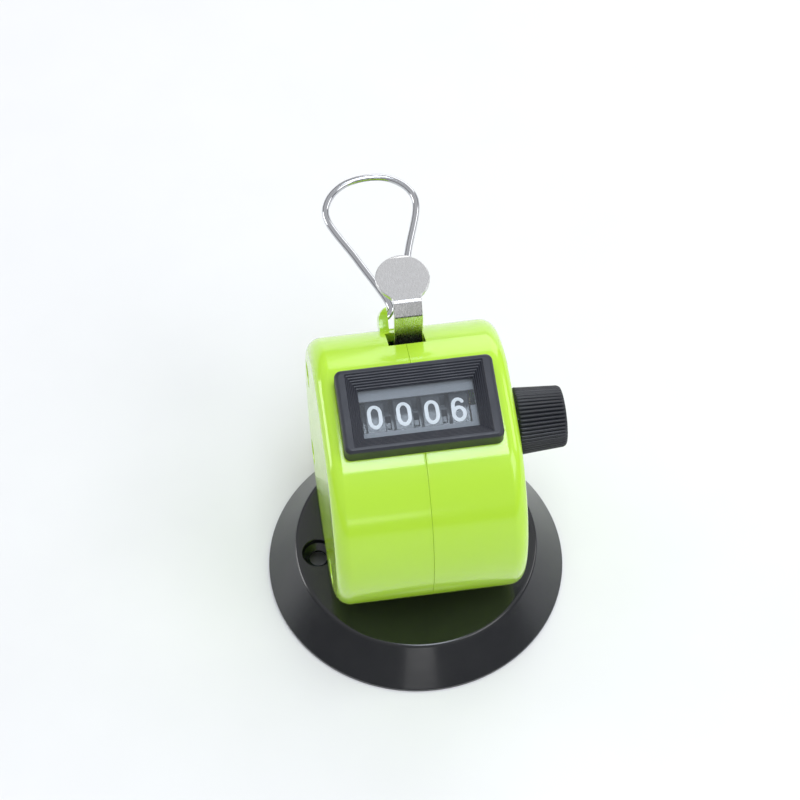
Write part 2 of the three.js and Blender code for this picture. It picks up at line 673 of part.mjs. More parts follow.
function makePawlPin() {
  const { start, headRadius, headThick } = PAWL_PIN;
  const headStart = ARM.right + ARM.sheet + 0.1;
  const end = headStart + headThick;
  return join(
    rodX(PAWL_AXIS.radius, start, end, PAWL_AXIS, 16),
    rodX(headRadius, headStart, end, PAWL_AXIS, 16));
}

// ---- springs ------------------------------------------------------------------------------

class Helix extends THREE.Curve {
  constructor(radius, length, turns) {
    super();
    this.radius = radius;
    this.length = length;
    this.turns = turns;
  }

  getPoint(t, target = new THREE.Vector3()) {
    const turn = t * this.turns * Math.PI * 2;
    return target.set(
      this.radius * Math.cos(turn), this.radius * Math.sin(turn), this.length * t);
  }
}

function coil(radius, length, turns, wire, perTurn) {
  const section = new THREE.Shape();
  section.absarc(0, 0, wire, 0, Math.PI * 2);
  return new THREE.ExtrudeGeometry(section, {
    steps: Math.round(turns * perTurn), curveSegments: 3, bevelEnabled: false,
    extrudePath: new Helix(radius, length, turns),
  });
}

function makeReturnSpring() {
  const { y, low, high, radius, wire, turns } = RETURN_SPRING;
  const geometry = coil(radius, high - low - wire * 2, turns, wire, 10);
  geometry.translate(0, y, low + wire);
  return solid(geometry);
}

function makePawlSpring() {
  const { x, radius, length, turns, wire } = PAWL_SPRING;
  const geometry = coil(radius, length, turns, wire, 10);
  geometry.rotateY(Math.PI / 2);
  geometry.translate(x, PAWL_AXIS.y, PAWL_AXIS.z);
  return solid(geometry);
}

// Leaf that stands on the frame's floor in front of the ratchet.
function makeCheckSpring() {
  const foot = FRAME.floor + FRAME.sheet + REST_GAP;
  const { left, right, thick } = CHECK_SPRING;
  const outline = polygon([
    [-7.4, foot], [-3.5, foot], [-3.5, foot + thick], [-6.9, foot + thick], [-6.9, 43.5],
    [-6.1, 45.6], [-6.5, 45.9], [-7.4, 43.6]]);
  return plate(outline, left, right);
}

// ---- finger ring --------------------------------------------------------------------------

// The wire's centre line: a straight bar through the eye, then sides that spread to an arch.
// Half of the ring: from the pin in one ear, up the leg and round to the middle of its far end.
function ringCurve() {
  const { length, halfWidth, neck, pin } = RING;
  const side = [
    [pin, 0], [neck + 1.1, 0], [neck, 1.15], [neck + 0.1, 3],
    [(neck + halfWidth) / 2 + 0.1, (length - 4.3) / 2],
    [halfWidth, length - 7.3], [halfWidth * 0.44, length - 0.5]];
  const points = [...side, [0, length], ...side.map(([x, y]) => [-x, y]).reverse()];
  return new THREE.CatmullRomCurve3(
    points.map(([x, y]) => new THREE.Vector3(x, y, 0)), false, 'centripetal');
}

function makeRing() {
  const section = new THREE.Shape();
  section.absarc(0, 0, RING.wire, 0, Math.PI * 2);
  return solid(new THREE.ExtrudeGeometry(section, {
    steps: 84, curveSegments: 4, bevelEnabled: false, extrudePath: ringCurve(),
  }));
}

// ---- assembly -----------------------------------------------------------------------------

const counter = new THREE.Group();

function add(parent, name, look, manifold) {
  const mesh = new THREE.Mesh(geometryOf(manifold), material(look));
  mesh.name = name;
  parent.add(mesh);
  return mesh;
}

function addScrews() {
  const headX = -CASE.halfWidth + SCREW.headHeight + REST_GAP;
  SHELL_SCREWS.forEach((at, i) => {
    const screw = add(counter, `shell_screw_${i + 1}`, 'steel', screwSolid(SHELL_SCREW.length));
    screw.rotation.y = Math.PI / 2;
    screw.position.set(headX, at.y, at.z);
  });
  const headZ = BASE.height - BASE.plate - REST_GAP;
  [-1, 1].forEach((side, i) => {
    const screw = add(counter, `base_screw_${i + 1}`, 'steel', screwSolid(BASE_SCREW.length));
    screw.position.set(side * BASE_SCREW.x, BASE_SCREW.y, headZ);
  });
}

function addCase() {
  const body = join(caseBody(), ringEye());
  add(counter, 'base', 'black', makeBase());
  add(counter, 'left_shell', 'green', makeShell(-1, body));
  add(counter, 'right_shell', 'green', makeShell(1, body));
}

function addWindow() {
  const window = new THREE.Group();
  window.position.set(0, CASE.y, CASE.z);
  window.rotation.x = WINDOW_LEAN;
  counter.add(window);
  add(window, 'window_bezel', 'slate', makeBezel());
  add(window, 'window_lens', 'clear', makeLens());
  add(window, 'number_mask', 'slate', makeMask());
}

function addWheels() {
  const axle = new THREE.Group();
  axle.position.set(0, WHEEL_AXIS.y, WHEEL_AXIS.z);
  counter.add(axle);
  const names = ['thousands_wheel', 'hundreds_wheel', 'tens_wheel', 'units_wheel'];
  names.forEach((name, order) => {
    const isUnits = name === 'units_wheel';
    const wheel = makeWheel({ gear: !isUnits, transfer: order > 0 });
    const mesh = add(axle, name, 'black', wheel);
    mesh.position.x = WHEEL.firstX + order * WHEEL.pitch;
    if (isUnits) mesh.rotation.x = -UNITS_DIGIT * DIGIT_STEP;
  });
  add(axle, 'ratchet_wheel', 'brass', makeRatchet());
  add(axle, 'reset_shaft', 'steel', makeResetShaft());
  add(axle, 'reset_knob', 'black', makeKnob());
  add(axle, 'shaft_clip', 'steel', makeShaftClip());
  add(axle, 'friction_washer', 'steel', makeFrictionWasher());
}

function addPinions() {
  const axle = new THREE.Group();
  axle.position.set(0, PINION_AXIS.y, PINION_AXIS.z);
  counter.add(axle);
  for (let i = 0; i < 3; i += 1) {
    const mesh = add(axle, `transfer_pinion_${i + 1}`, 'nylon', makePinion());
    mesh.position.x = WHEEL.firstX + i * WHEEL.pitch + WHEEL.bandEnd;
  }
  add(counter, 'pinion_shaft', 'steel', makePinionShaft());
}

function addMechanism() {
  add(counter, 'mechanism_frame', 'steel', makeFrame());
  add(counter, 'tie_rod_front', 'steel', makeTieRod(TIE_RODS.front));
  add(counter, 'tie_rod_rear', 'steel', makeTieRod(TIE_RODS.rear));
  add(counter, 'lever_pivot_pin', 'steel', makePivotPin());
  add(counter, 'thumb_lever', 'chrome', makeLever());
  add(counter, 'return_spring', 'steel', makeReturnSpring());
  add(counter, 'feed_pawl', 'steel', makePawl());
  add(counter, 'pawl_pin', 'steel', makePawlPin());
  add(counter, 'pawl_spring', 'steel', makePawlSpring());
  add(counter, 'check_spring', 'steel', makeCheckSpring());
}

// The ring is drawn flat in XY with its pins on X; the turns lean it back from upright.
function addRing() {
  const eye = new THREE.Group();
  eye.position.set(RING_EYE.x, RING_EYE.y, RING_EYE.z);
  eye.rotation.x = THREE.MathUtils.degToRad(90 - RING.tilt);
  const ring = add(eye, 'finger_ring', 'chrome', makeRing());
  ring.rotation.z = THREE.MathUtils.degToRad(RING.skew);
  counter.add(eye);
}

addCase();
addWindow();
addScrews();
addWheels();
addPinions();
addMechanism();
addRing();

export default counter;
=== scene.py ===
# Looks for the hand tally counter. Sizes are millimetres and become metres in place(); only the
# lamps' and the floor's sizes are metres. -Y faces the reader, +X is the knob's side and +Z is up.
# The origin is the middle of the base's underside.
import json
import math

import bmesh
import bpy
from mathutils import Matrix, Vector


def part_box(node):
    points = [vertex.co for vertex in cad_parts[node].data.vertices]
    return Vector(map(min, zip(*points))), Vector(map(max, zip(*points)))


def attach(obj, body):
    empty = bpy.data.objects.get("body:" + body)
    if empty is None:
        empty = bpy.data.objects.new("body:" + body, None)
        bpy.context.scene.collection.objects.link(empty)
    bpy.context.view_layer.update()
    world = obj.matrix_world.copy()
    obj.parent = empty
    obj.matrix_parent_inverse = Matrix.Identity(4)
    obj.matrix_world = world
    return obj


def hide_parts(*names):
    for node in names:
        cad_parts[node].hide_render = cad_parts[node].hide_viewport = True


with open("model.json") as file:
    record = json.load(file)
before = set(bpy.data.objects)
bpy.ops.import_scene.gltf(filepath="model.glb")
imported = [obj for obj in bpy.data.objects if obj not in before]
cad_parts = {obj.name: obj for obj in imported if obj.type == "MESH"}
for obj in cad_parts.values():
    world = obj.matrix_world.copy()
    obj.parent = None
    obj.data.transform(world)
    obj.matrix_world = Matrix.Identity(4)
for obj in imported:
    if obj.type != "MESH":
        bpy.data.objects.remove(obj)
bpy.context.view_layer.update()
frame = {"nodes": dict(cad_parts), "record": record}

MM = 0.001
TAU = 2 * math.pi

# ---- places taken from the frame ----


def node_box(name):
    low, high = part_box(name)
    return low / MM, high / MM


def axis_place(name):
    """Where a joint's axis, which runs along X, crosses the centre plane."""
    for joint in frame["record"]["behaviour"]["joints"]:
        if joint["name"] == name:
            return Vector((0, *joint["pos_m"][1:])) / MM
    raise ValueError(f"no joint named {name}")


WHEEL_AXIS = axis_place("units_turn")
PIVOT = axis_place("lever_press")
EYE = axis_place("ring_swing")
SHELL_LOW = node_box("left_shell")[0]
SHELL_HALF = node_box("right_shell")[1].x
BASE_HIGH = node_box("base")[1]

# ---- driving dimensions ----

CASE_RADIUS = 26.2
CASE_EDGE = 3.0
CASE_WALL = 2.0
CASE_CENTRE = Vector((0, SHELL_LOW.y + CASE_RADIUS, 32.5))
CASE_FLOOR = CASE_CENTRE.z - SHELL_LOW.z
WINDOW_LEAN = math.radians(10)
FACET = 24.6  # from the case's centre to the flat under the window
OUTLINE_STEPS = 240
OUTLINE_BLEND = 46  # higher gives a sharper corner between the drum and its flats
# The seam's edge as (distance from the centre plane, inset): a hairline groove beside a low bead.
SEAM = [(0.012, 0.05), (0.05, -0.02), (0.13, -0.045), (0.24, -0.025), (0.36, 0.0)]

BASE = {"rim": 24.2, "plate": 2.6, "wall": 3.5, "hub": 5.0, "segments": 192}
DESK_HOLE = {"x": 20.0, "radius": 1.8, "head": 3.2, "depth": 1.2}
BASE_SCREW = {"x": 9.5, "y": CASE_CENTRE.y, "boss": (5, 19), "hole_top": 17.5}

BEZEL = {"half": (15.0, 8.55), "corner": 1.3, "low": 24.45, "high": 28.2, "edge": 0.8}
PLUG = {"half": (12.1, 6.1), "hole": (12.4, 6.4), "low": 23.6, "cut_low": 20}
RIM = {"half": (13.0, 7.4), "step": 0.14, "gap": 0.12}
OPENING = {"half": (10.95, 4.96), "high": 25.83}
LENS = {"half": (11.3, 5.3), "low": 24.75, "high": 25.45, "gap": 0.05, "ledge": 0.3}
MASK = {
    "low": 24.05, "high": 24.4, "slot_x": (-10.9, 9.8), "slot_y": (-3.4, 3.1),
    "notch": (10.9, -0.1), "cut": (23, 26),
}
SLOPE_RIBS = 6
RIB_STEPS = ((0.2, -0.07), (0.7, 0.05))  # share of a rib's width, height off the plain slope

WHEELS = ["thousands", "hundreds", "tens", "units"]
WHEEL = {
    "radius": 10.0, "band": (0.55, 4.13), "pitch": 5.33, "first": -10.5, "gear_end": 5.13,
    "hub": 7.6, "edge": 0.12,
}
SHAFT_BORE = 2.3
CARRY_STEPS = (1, 2)  # the two carry teeth stand next to the gear's first tooth
GEAR = {"teeth": 20, "root": 7.8, "tip": 9.8}
# One tooth of each kind, as (radius, offset along the rim) in order round the wheel.
GEAR_TOOTH = (
    (GEAR["root"], -0.75), (GEAR["root"] + 0.5, -0.6), (GEAR["tip"] - 0.25, -0.36),
    (GEAR["tip"], -0.22), (GEAR["tip"], 0.22), (GEAR["tip"] - 0.25, 0.36),
    (GEAR["root"] + 0.5, 0.6), (GEAR["root"], 0.75),
)
CARRY_TOOTH = ((7.0, -0.7), (9.75, -0.3), (9.75, 0.3), (7.0, 0.7))
FIRST_TOOTH = -math.pi / 2 + TAU / 2 / GEAR["teeth"]
DIGIT = {
    "height": 4.9, "width": 2.8, "stroke": 0.7, "rise": 0.06, "sunk": -0.08, "spacing": 0.16,
    "lean": math.radians(11.5),
}
STROKE_END = (0.45, 0.8, 0.98)  # where a stroke's round end has its rows, from its middle to its tip
WHEEL_SLACK = {"thousands": 0.3, "hundreds": 0.3, "tens": 0.0, "units": -0.1}  # along the rim
DIGIT_SHIFT = {"thousands": -0.1, "hundreds": 0.07, "tens": 0.02, "units": -0.26}  # along X

SLOT = {"x": 0.25, "half": 3.6, "y": (15.3, 20.8), "z": (48, 62)}
LUG = {
    "x": 0.1, "half": 4.05, "radius": 2.0, "hole": 1.0, "gap": 2.2, "corner": 3.0, "wall": 0.9,
    "depth": 6, "split": 0.06, "flare": 0.4,
}
RING = {
    "wire": 0.7, "length": 31.7, "half": 9.1, "neck": 1.15, "pin": 3.0, "tilt": 82.5, "skew": 4.5,
}
STRIP = {
    "x": 0.8, "half": 2.75, "y": 17.3, "thick": 1.0, "low": 44.5, "top": 64.4,
    "bend": (19.1, 61.6),
}
STRIP_RADII = (1.3, 1.1)  # of the slant's lower and upper bend
PAD = {"x": 0.65, "y": 24.9, "radius": 5.2}
# The lever inside the case: a bridge behind the strip, two side arms and a foot on the spring.
BRIDGE = {"x": (-11.8, 12.9), "z": (39.5, 45.5)}
FOOT = {"half": 3.2, "y": (13.4, 19.2), "z": (39.5, 40.5)}
ARM = {"left": -12.3, "right": 12.4, "thick": 1, "half": 2.2, "boss": 2.6, "bore": 1.8}
PAWL_PIN = {"y": 9.5, "z": 41, "bore": 1.1}
KNOB = {
    "start": 19.0, "end": 28.3, "root": 6.5, "tip": 5.9, "ribs": 48, "depth": 0.38,
    "chamfer": 0.7, "lead": 0.4,
}

SHELL_SCREWS = [(-10.5, 18.4), (17.7, 18.4), (22.4, 39.3)]
SCREW = {
    "shank": 1.1, "head": 2.2, "height": 1.4, "bore": 1.45, "boss": 2.7, "recess": 2.5,
    "sunk": 0.3, "boss_gap": 0.25, "blind": 11, "case_length": 27, "base_length": 10.5,
}
CROSS = {"long": 1.25, "wide": 0.28, "deep": 0.75}

# ---- lights and camera ----

# Brightness of the room by the sine of the elevation, from the horizon up.
ROOM = [(0.0, 0.12), (0.12, 0.22), (0.3, 0.5), (0.6, 0.5), (0.8, 0.85), (0.93, 0.6)]
ROOM_TINT = (0.985, 0.99, 1.015)
PANEL = {"x": 59, "rear": 137, "height": 760, "width": 220, "depth": 470, "power": 2.2}
PANEL_TINT = (0.9, 0.97, 1.08)
FLOOR_HALF = 3.0  # metres
LAMP_TARGET = Vector((0, 0, 0.03))  # metres
# name, azimuth, elevation, distance, (width, height), power; in degrees, metres and watts
LAMPS = [
    ("key", 48, 40, 0.9, (0.45, 0.45), 1.7),
    ("side", -113, 10, 0.9, (0.4, 0.3), 1.8),
    ("fill", 100, 26, 0.9, (0.4, 0.3), 1.0),
    ("rear", 158, 20, 0.9, (0.6, 0.55), 2.1),
    ("front", -5, 13, 0.9, (0.3, 0.08), 0.16),
]

CAMERA = {
    "azimuth": -8.45, "elevation": 56.0, "roll": -0.23, "distance": 527.1, "lens": 120.2,
    "shift": (-3.29, 19.14), "aim_height": 25.0,
}

# ---- node materials ----


class Shader:
    """A node material: a Principled BSDF and short ways to add the textures that feed it."""

    def __init__(self, name):
        self.material = bpy.data.materials.new(name)
        self.material.use_nodes = True
        self.tree = self.material.node_tree
        self.bsdf = self.tree.nodes["Principled BSDF"]
        self.out = self.tree.nodes["Material Output"]
        self.place = self.add("ShaderNodeTexCoord").outputs["Object"]

    def add(self, kind, **settings):
        node = self.tree.nodes.new(kind)
        for key, value in settings.items():
            setattr(node, key, value)
        return node

    def link(self, source, target):
        self.tree.links.new(source, target)

    def stretched(self, scale):
        mapping = self.add("ShaderNodeMapping")
        mapping.inputs["Scale"].default_value = scale
        self.link(self.place, mapping.inputs["Vector"])
        return mapping.outputs["Vector"]

    def noise(self, scale, detail, vector=None):
        node = self.add("ShaderNodeTexNoise")
        node.inputs["Scale"].default_value = scale
        node.inputs["Detail"].default_value = detail
        self.link(vector or self.place, node.inputs["Vector"])
        return node.outputs["Fac"]

    def ranged(self, source, low, high, start=0.3, end=0.7):
        node = self.add("ShaderNodeMapRange")
        node.inputs["From Min"].default_value = start
        node.inputs["From Max"].default_value = end
        node.inputs["To Min"].default_value = low
        node.inputs["To Max"].default_value = high
        self.link(source, node.inputs["Value"])
        return node.outputs["Result"]

    def colour(self, factor, first, second):
        node = self.add("ShaderNodeMix", data_type="RGBA")
        self.link(factor, node.inputs["Factor"])
        node.inputs["A"].default_value = (*first, 1)
        node.inputs["B"].default_value = (*second, 1)
        self.link(node.outputs["Result"], self.bsdf.inputs["Base Color"])

    def roughness(self, factor, low, high):
        self.link(self.ranged(factor, low, high), self.bsdf.inputs["Roughness"])

    def bump(self, height, depth, strength):
        node = self.add("ShaderNodeBump")
        node.inputs["Distance"].default_value = depth * MM
        node.inputs["Strength"].default_value = strength
        self.link(height, node.inputs["Height"])
        self.link(node.outputs["Normal"], self.bsdf.inputs["Normal"])

    def set(self, **values):
        for key, value in values.items():
            self.bsdf.inputs[key].default_value = value


def moulded_plastic(name, dark, light, rough, grain=0.012, grain_scale=900, specular=0.5):
    """Gloss or satin moulding: slow colour drift, uneven gloss and a fine orange-peel skin."""
    shader = Shader(name)
    shader.colour(shader.noise(45, 2), dark, light)
    shader.roughness(shader.noise(220, 4), rough * 0.85, rough * 1.2)
    shader.bump(shader.noise(grain_scale, 3), grain, 0.6)
    shader.set(**{"Specular IOR Level": specular})
    return shader


def green_plastic():
    shader = moulded_plastic("green_gloss", (0.45, 0.75, 0.035), (0.48, 0.78, 0.045), 0.17, 0.006)
    shader.set(**{"Subsurface Weight": 0.12, "Subsurface Radius": (0.9, 1.0, 0.25),
                  "Subsurface Scale": 2 * MM, "Coat Weight": 0.35, "Coat Roughness": 0.06})
    return shader.material


def black_plastic():
    shader = moulded_plastic("black_gloss", (0.006, 0.007, 0.009), (0.012, 0.013, 0.016), 0.22, 0.006)
    shader.set(**{"Coat Weight": 0.3, "Coat Roughness": 0.12})
    return shader.material


def slate_plastic():
    return moulded_plastic(
        "slate_satin", (0.013, 0.015, 0.023), (0.018, 0.021, 0.031), 0.4, 0.02, 1600).material


def knob_plastic():
    return moulded_plastic(
        "knob_satin", (0.006, 0.007, 0.011), (0.011, 0.013, 0.018), 0.38, 0.015, 1500).material


def wheel_plastic():
    return moulded_plastic(
        "wheel_satin", (0.03, 0.035, 0.041), (0.04, 0.046, 0.052), 0.17, 0.004, 1300, 0.6).material


def mask_plastic():
    return moulded_plastic(
        "mask_satin", (0.235, 0.248, 0.268), (0.262, 0.275, 0.298), 0.5, 0.012, 1200).material


def digit_ink():
    return moulded_plastic(
        "digit_ink", (0.92, 0.93, 0.95), (0.96, 0.97, 0.98), 0.5, 0.01, 2500).material


def acetal():
    shader = moulded_plastic("acetal", (0.72, 0.70, 0.63), (0.82, 0.80, 0.73), 0.45)
    shader.set(**{"Subsurface Weight": 0.2, "Subsurface Scale": MM})
    return shader.material


def metal(name, dark, light, rough, stretch=(1, 1, 1), scale=300, depth=0.004):
    """Plated or plain metal: brushed or grained along the long axis of the stretch."""
    shader = Shader(name)
    grain = shader.noise(scale, 6, shader.stretched(stretch))
    shader.colour(shader.noise(60, 3), dark, light)
    shader.roughness(grain, rough * 0.75, rough * 1.35)
    shader.bump(grain, depth, 0.5)
    shader.set(Metallic=1.0)
    return shader.material


def lens_plastic():
    """Clear plate: lets the light through, with its surface reflection and a trace of haze."""
    shader = Shader("clear_lens")
    clear = shader.add("ShaderNodeBsdfTransparent")
    clear.inputs["Color"].default_value = (0.93, 0.95, 0.96, 1)
    gloss = shader.add("ShaderNodeBsdfGlossy")
    shader.link(shader.ranged(shader.noise(180, 4), 0.02, 0.06), gloss.inputs["Roughness"])
    haze = shader.add("ShaderNodeBsdfDiffuse")
    haze.inputs["Color"].default_value = (0.72, 0.78, 0.86, 1)
    body = shader.add("ShaderNodeMixShader")
    shader.link(shader.ranged(shader.noise(300, 4), 0.035, 0.055), body.inputs["Fac"])
    shader.link(clear.outputs["BSDF"], body.inputs[1])
    shader.link(haze.outputs["BSDF"], body.inputs[2])
    # Light leaves the plate's far faces unbent here, so only the near faces reflect.
    fresnel = shader.add("ShaderNodeFresnel")
    fresnel.inputs["IOR"].default_value = 1.49
    side = shader.add("ShaderNodeNewGeometry")
    near = shader.add("ShaderNodeMath", operation="SUBTRACT")
    near.inputs[0].default_value = 1
    shader.link(side.outputs["Backfacing"], near.inputs[1])
    share = shader.add("ShaderNodeMath", operation="MULTIPLY")
    shader.link(fresnel.outputs["Fac"], share.inputs[0])
    shader.link(near.outputs["Value"], share.inputs[1])
    blend = shader.add("ShaderNodeMixShader")
    shader.link(share.outputs["Value"], blend.inputs["Fac"])
    shader.link(body.outputs["Shader"], blend.inputs[1])
    shader.link(gloss.outputs["BSDF"], blend.inputs[2])
    shader.link(blend.outputs["Shader"], shader.out.inputs["Surface"])
    return shader.material


def paper_floor():
    return moulded_plastic(
        "pale_floor", (0.80, 0.80, 0.80), (0.84, 0.84, 0.84), 0.7, 0.02, 400).material


LOOKS = {
    "green_plastic": green_plastic(),
    "black_plastic": black_plastic(),
    "slate_plastic": slate_plastic(),
    "knob_plastic": knob_plastic(),
    "wheel_plastic": wheel_plastic(),
    "mask_plastic": mask_plastic(),
    "clear_plastic": lens_plastic(),
    "white_plastic": acetal(),
    "digit_ink": digit_ink(),
    "steel": metal("plain_steel", (0.42, 0.43, 0.45), (0.56, 0.57, 0.59), 0.34, (1, 6, 1)),
    "satin": metal(
        "satin_nickel", (0.64, 0.64, 0.64), (0.69, 0.69, 0.69), 0.27, (5, 1, 1), 900, 0.0015),
    "chrome": metal("bright_chrome", (0.50, 0.51, 0.53), (0.58, 0.59, 0.61), 0.12, (1, 1, 1), 500),
    "brass": metal("stamped_brass", (0.33, 0.29, 0.21), (0.42, 0.37, 0.27), 0.33),
}

# ---- mesh building ----


def skin(mesh, rings, closed=False, cap=True):
    """Faces between rings of vertices that all have the same count, with the end rings capped."""
    pairs = list(zip(rings, rings[1:]))
    if closed:
        pairs.append((rings[-1], rings[0]))
    for lower, upper in pairs:
        for i in range(len(lower)):
            j = (i + 1) % len(lower)
            mesh.faces.new((lower[i], lower[j], upper[j], upper[i]))
    if cap and not closed:
        mesh.faces.new(rings[0][::-1])
        mesh.faces.new(rings[-1])


def cleaned(mesh):
    bmesh.ops.remove_doubles(mesh, verts=mesh.verts, dist=1e-5)
    bmesh.ops.recalc_face_normals(mesh, faces=mesh.faces)
    return mesh


def loft(loops, closed=False, cap=True):
    """A mesh over rings of points; closed joins the last ring to the first."""
    mesh = bmesh.new()
    skin(mesh, [[mesh.verts.new(point) for point in loop] for loop in loops], closed, cap)
    return cleaned(mesh)


def turned_rings(profile, segments, axis, at):
    """One ring of points for each (radius, height) of a profile, round X or Z."""
    rings = []
    for radius, height in profile:
        ring = []
        for i in range(segments):
            angle = TAU * i / segments
            side = (radius * math.cos(angle), radius * math.sin(angle))
            point = (height, *side) if axis == "X" else (*side, height)
            ring.append(at + Vector(point))
        rings.append(ring)
    return rings


def revolve(profile, segments, axis="Z", at=Vector()):
    """A solid turned from a profile that starts and ends on the axis, or has flat capped ends."""
    return loft(turned_rings(profile, segments, axis, at), cap=profile[0][0] > 0)


def hoop(profile, segments, axis, at):
    """A ring-shaped solid turned from a closed profile that stays off the axis."""
    return loft(turned_rings(profile, segments, axis, at), closed=True)


def rod(radius, low, high, at, axis="X", segments=48):
    return revolve([(radius, low), (radius, high)], segments, axis, Vector(at))


def box(low, high):
    mesh = bmesh.new()
    bmesh.ops.create_cube(mesh, size=1)
    size = Vector(high) - Vector(low)
    centre = (Vector(high) + Vector(low)) / 2
    bmesh.ops.scale(mesh, vec=size, verts=mesh.verts)
    bmesh.ops.translate(mesh, vec=centre, verts=mesh.verts)
    return mesh


def extruded(outline, low, high):
    """A flat outline of (y, z) points drawn out along X."""
    return loft([[(x, y, z) for y, z in outline] for x in (low, high)])


def moved(mesh, matrix):
    bmesh.ops.transform(mesh, matrix=matrix, verts=mesh.verts)
    return mesh


def arc(centre, radius, start, end, steps):
    """Points on an arc, in degrees, both ends included."""
    points = []
    for i in range(steps + 1):
        angle = math.radians(start + (end - start) * i / steps)
        points.append((centre[0] + radius * math.cos(angle), centre[1] + radius * math.sin(angle)))
    return points


def rounded_rectangle(half_x, half_y, corner, steps):
    points = []
    for turn, (sx, sy) in enumerate(((1, 1), (-1, 1), (-1, -1), (1, -1))):
        centre = (sx * (half_x - corner), sy * (half_y - corner))
        points += arc(centre, corner, turn * 90, turn * 90 + 90, steps)
    return points


def rounded_edge(radius, steps):
    """A quarter round from a side to an end face, as (distance along the side, inset from it)."""
    edge = []
    for i in range(steps + 1):
        angle = math.pi / 2 * i / steps
        edge.append((radius * math.sin(angle), radius * (1 - math.cos(angle))))
    return edge


def round_wheels(radius, angle):
    """The (y, z) place at a radius and an angle round the wheels' axis."""
    return WHEEL_AXIS.y + radius * math.cos(angle), WHEEL_AXIS.z + radius * math.sin(angle)


def temporary(mesh):
    data = bpy.data.meshes.new("tool")
    mesh.to_mesh(data)
    mesh.free()
    item = bpy.data.objects.new("tool", data)
    bpy.context.scene.collection.objects.link(item)
    return item


def combined(mesh, tools, operation):
    """The mesh joined with, cut by or kept inside each of the tools. Frees the inputs."""
    item = temporary(mesh)
    helpers = []
    for tool in tools:
        helper = temporary(tool)
        helpers.append(helper)
        modifier = item.modifiers.new("boolean", "BOOLEAN")
        modifier.operation = operation
        modifier.solver = "EXACT"
        modifier.object = helper
    bpy.context.view_layer.update()
    shaped = item.evaluated_get(bpy.context.evaluated_depsgraph_get())
    result = bmesh.new()
    result.from_mesh(shaped.data)
    for used in [item, *helpers]:
        data = used.data
        bpy.data.objects.remove(used)
        bpy.data.meshes.remove(data)
    bmesh.ops.remove_doubles(result, verts=result.verts, dist=2e-4)
    bmesh.ops.dissolve_degenerate(result, edges=result.edges, dist=1e-4)
    return result


def cut(mesh, *tools):
    return combined(mesh, tools, "DIFFERENCE")


def join(mesh, *tools):
    return combined(mesh, tools, "UNION")


def place(mesh, name, look, body, replaces=(), sharp=32, soften=0.0):
    """Turns a mesh in millimetres into a finished piece that rides on a CAD body."""
    bmesh.ops.scale(mesh, vec=(MM, MM, MM), verts=mesh.verts)
    data = bpy.data.meshes.new(name)
    mesh.to_mesh(data)
    mesh.free()
    data.materials.append(LOOKS[look])
    data.shade_smooth()
    data.set_sharp_from_angle(angle=math.radians(sharp))
    piece = bpy.data.objects.new(name, data)
    bpy.context.scene.collection.objects.link(piece)
    if soften:
        bevel = piece.modifiers.new("edge", "BEVEL")
        bevel.width = soften * MM
        bevel.segments = 2
        bevel.limit_method = "ANGLE"
        bevel.angle_limit = math.radians(40)
        bevel.harden_normals = True
    weights = piece.modifiers.new("normals", "WEIGHTED_NORMAL")
    weights.keep_sharp = True
    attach(piece, body)
    if replaces:
        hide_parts(*replaces)


def window_frame():
    """From the window's frame, with +Z as its normal and the case's centre as origin, to the part's."""
    return Matrix.Translation(CASE_CENTRE) @ Matrix.Rotation(WINDOW_LEAN, 4, "X")


# ---- base ----


def base_profile():
    """A disc with a conical skirt and a softly rounded rim, hollow below around a central hub."""
    top, radius, rim, hub = BASE_HIGH.z, BASE_HIGH.x, BASE["rim"], BASE["hub"]
    under = top - BASE["plate"]
    return [
        (0, 0), (hub - 0.3, 0), (hub, 0.3), (hub, under),
        (rim - 2, under), (radius - BASE["wall"], 0), (radius - 0.2, 0),
        (radius, 0.2), (radius, 0.75), (radius - 0.15, 0.98),
        (rim + 0.45, top - 0.62), (rim + 0.22, top - 0.22), (rim - 0.12, top - 0.03),
        (rim - 0.5, top), (0, top),
    ]


def desk_hole(x):
    """The tool that cuts one screw-down hole with its countersunk seat."""
    top, radius, head = BASE_HIGH.z, DESK_HOLE["radius"], DESK_HOLE["head"]
    seat = top - DESK_HOLE["depth"]
    profile = [
        (0, -1), (radius, -1), (radius, seat - 0.9), (head - 0.25, seat),
        (head - 0.1, top - 0.15), (head + 0.15, top + 0.1), (0, top + 0.1),
    ]
    return revolve(profile, 64, "Z", Vector((x, 0, 0)))


def base_screw_place(side):
    return Vector((side * BASE_SCREW["x"], BASE_SCREW["y"], 0))


def build_base():
    disc = revolve(base_profile(), BASE["segments"])
    tools = []
    for side in (-1, 1):
        tools.append(desk_hole(side * DESK_HOLE["x"]))
        tools.append(rod(SCREW["bore"], -1, BASE_HIGH.z + 1, base_screw_place(side), "Z"))
    place(cut(disc, *tools), "desk_base", "black_plastic", "case", ["base"])


# ---- case shells ----


def case_outline(inset, steps=OUTLINE_STEPS):
    """The drum's outline, flattened under the window and at the floor, as (y, z) points."""
    flats = ((math.pi / 2 + WINDOW_LEAN, FACET), (-math.pi / 2, CASE_FLOOR))
    points = []
    for i in range(steps):
        angle = TAU * i / steps
        limits = [CASE_RADIUS - inset]
        for facing, distance in flats:
            share = math.cos(angle - facing)
            if share > 0.2:
                limits.append((distance - inset) / share)
        reach = sum(limit ** -OUTLINE_BLEND for limit in limits) ** (-1 / OUTLINE_BLEND)
        points.append((
            CASE_CENTRE.y + reach * math.cos(angle), CASE_CENTRE.z + reach * math.sin(angle)))
    return points


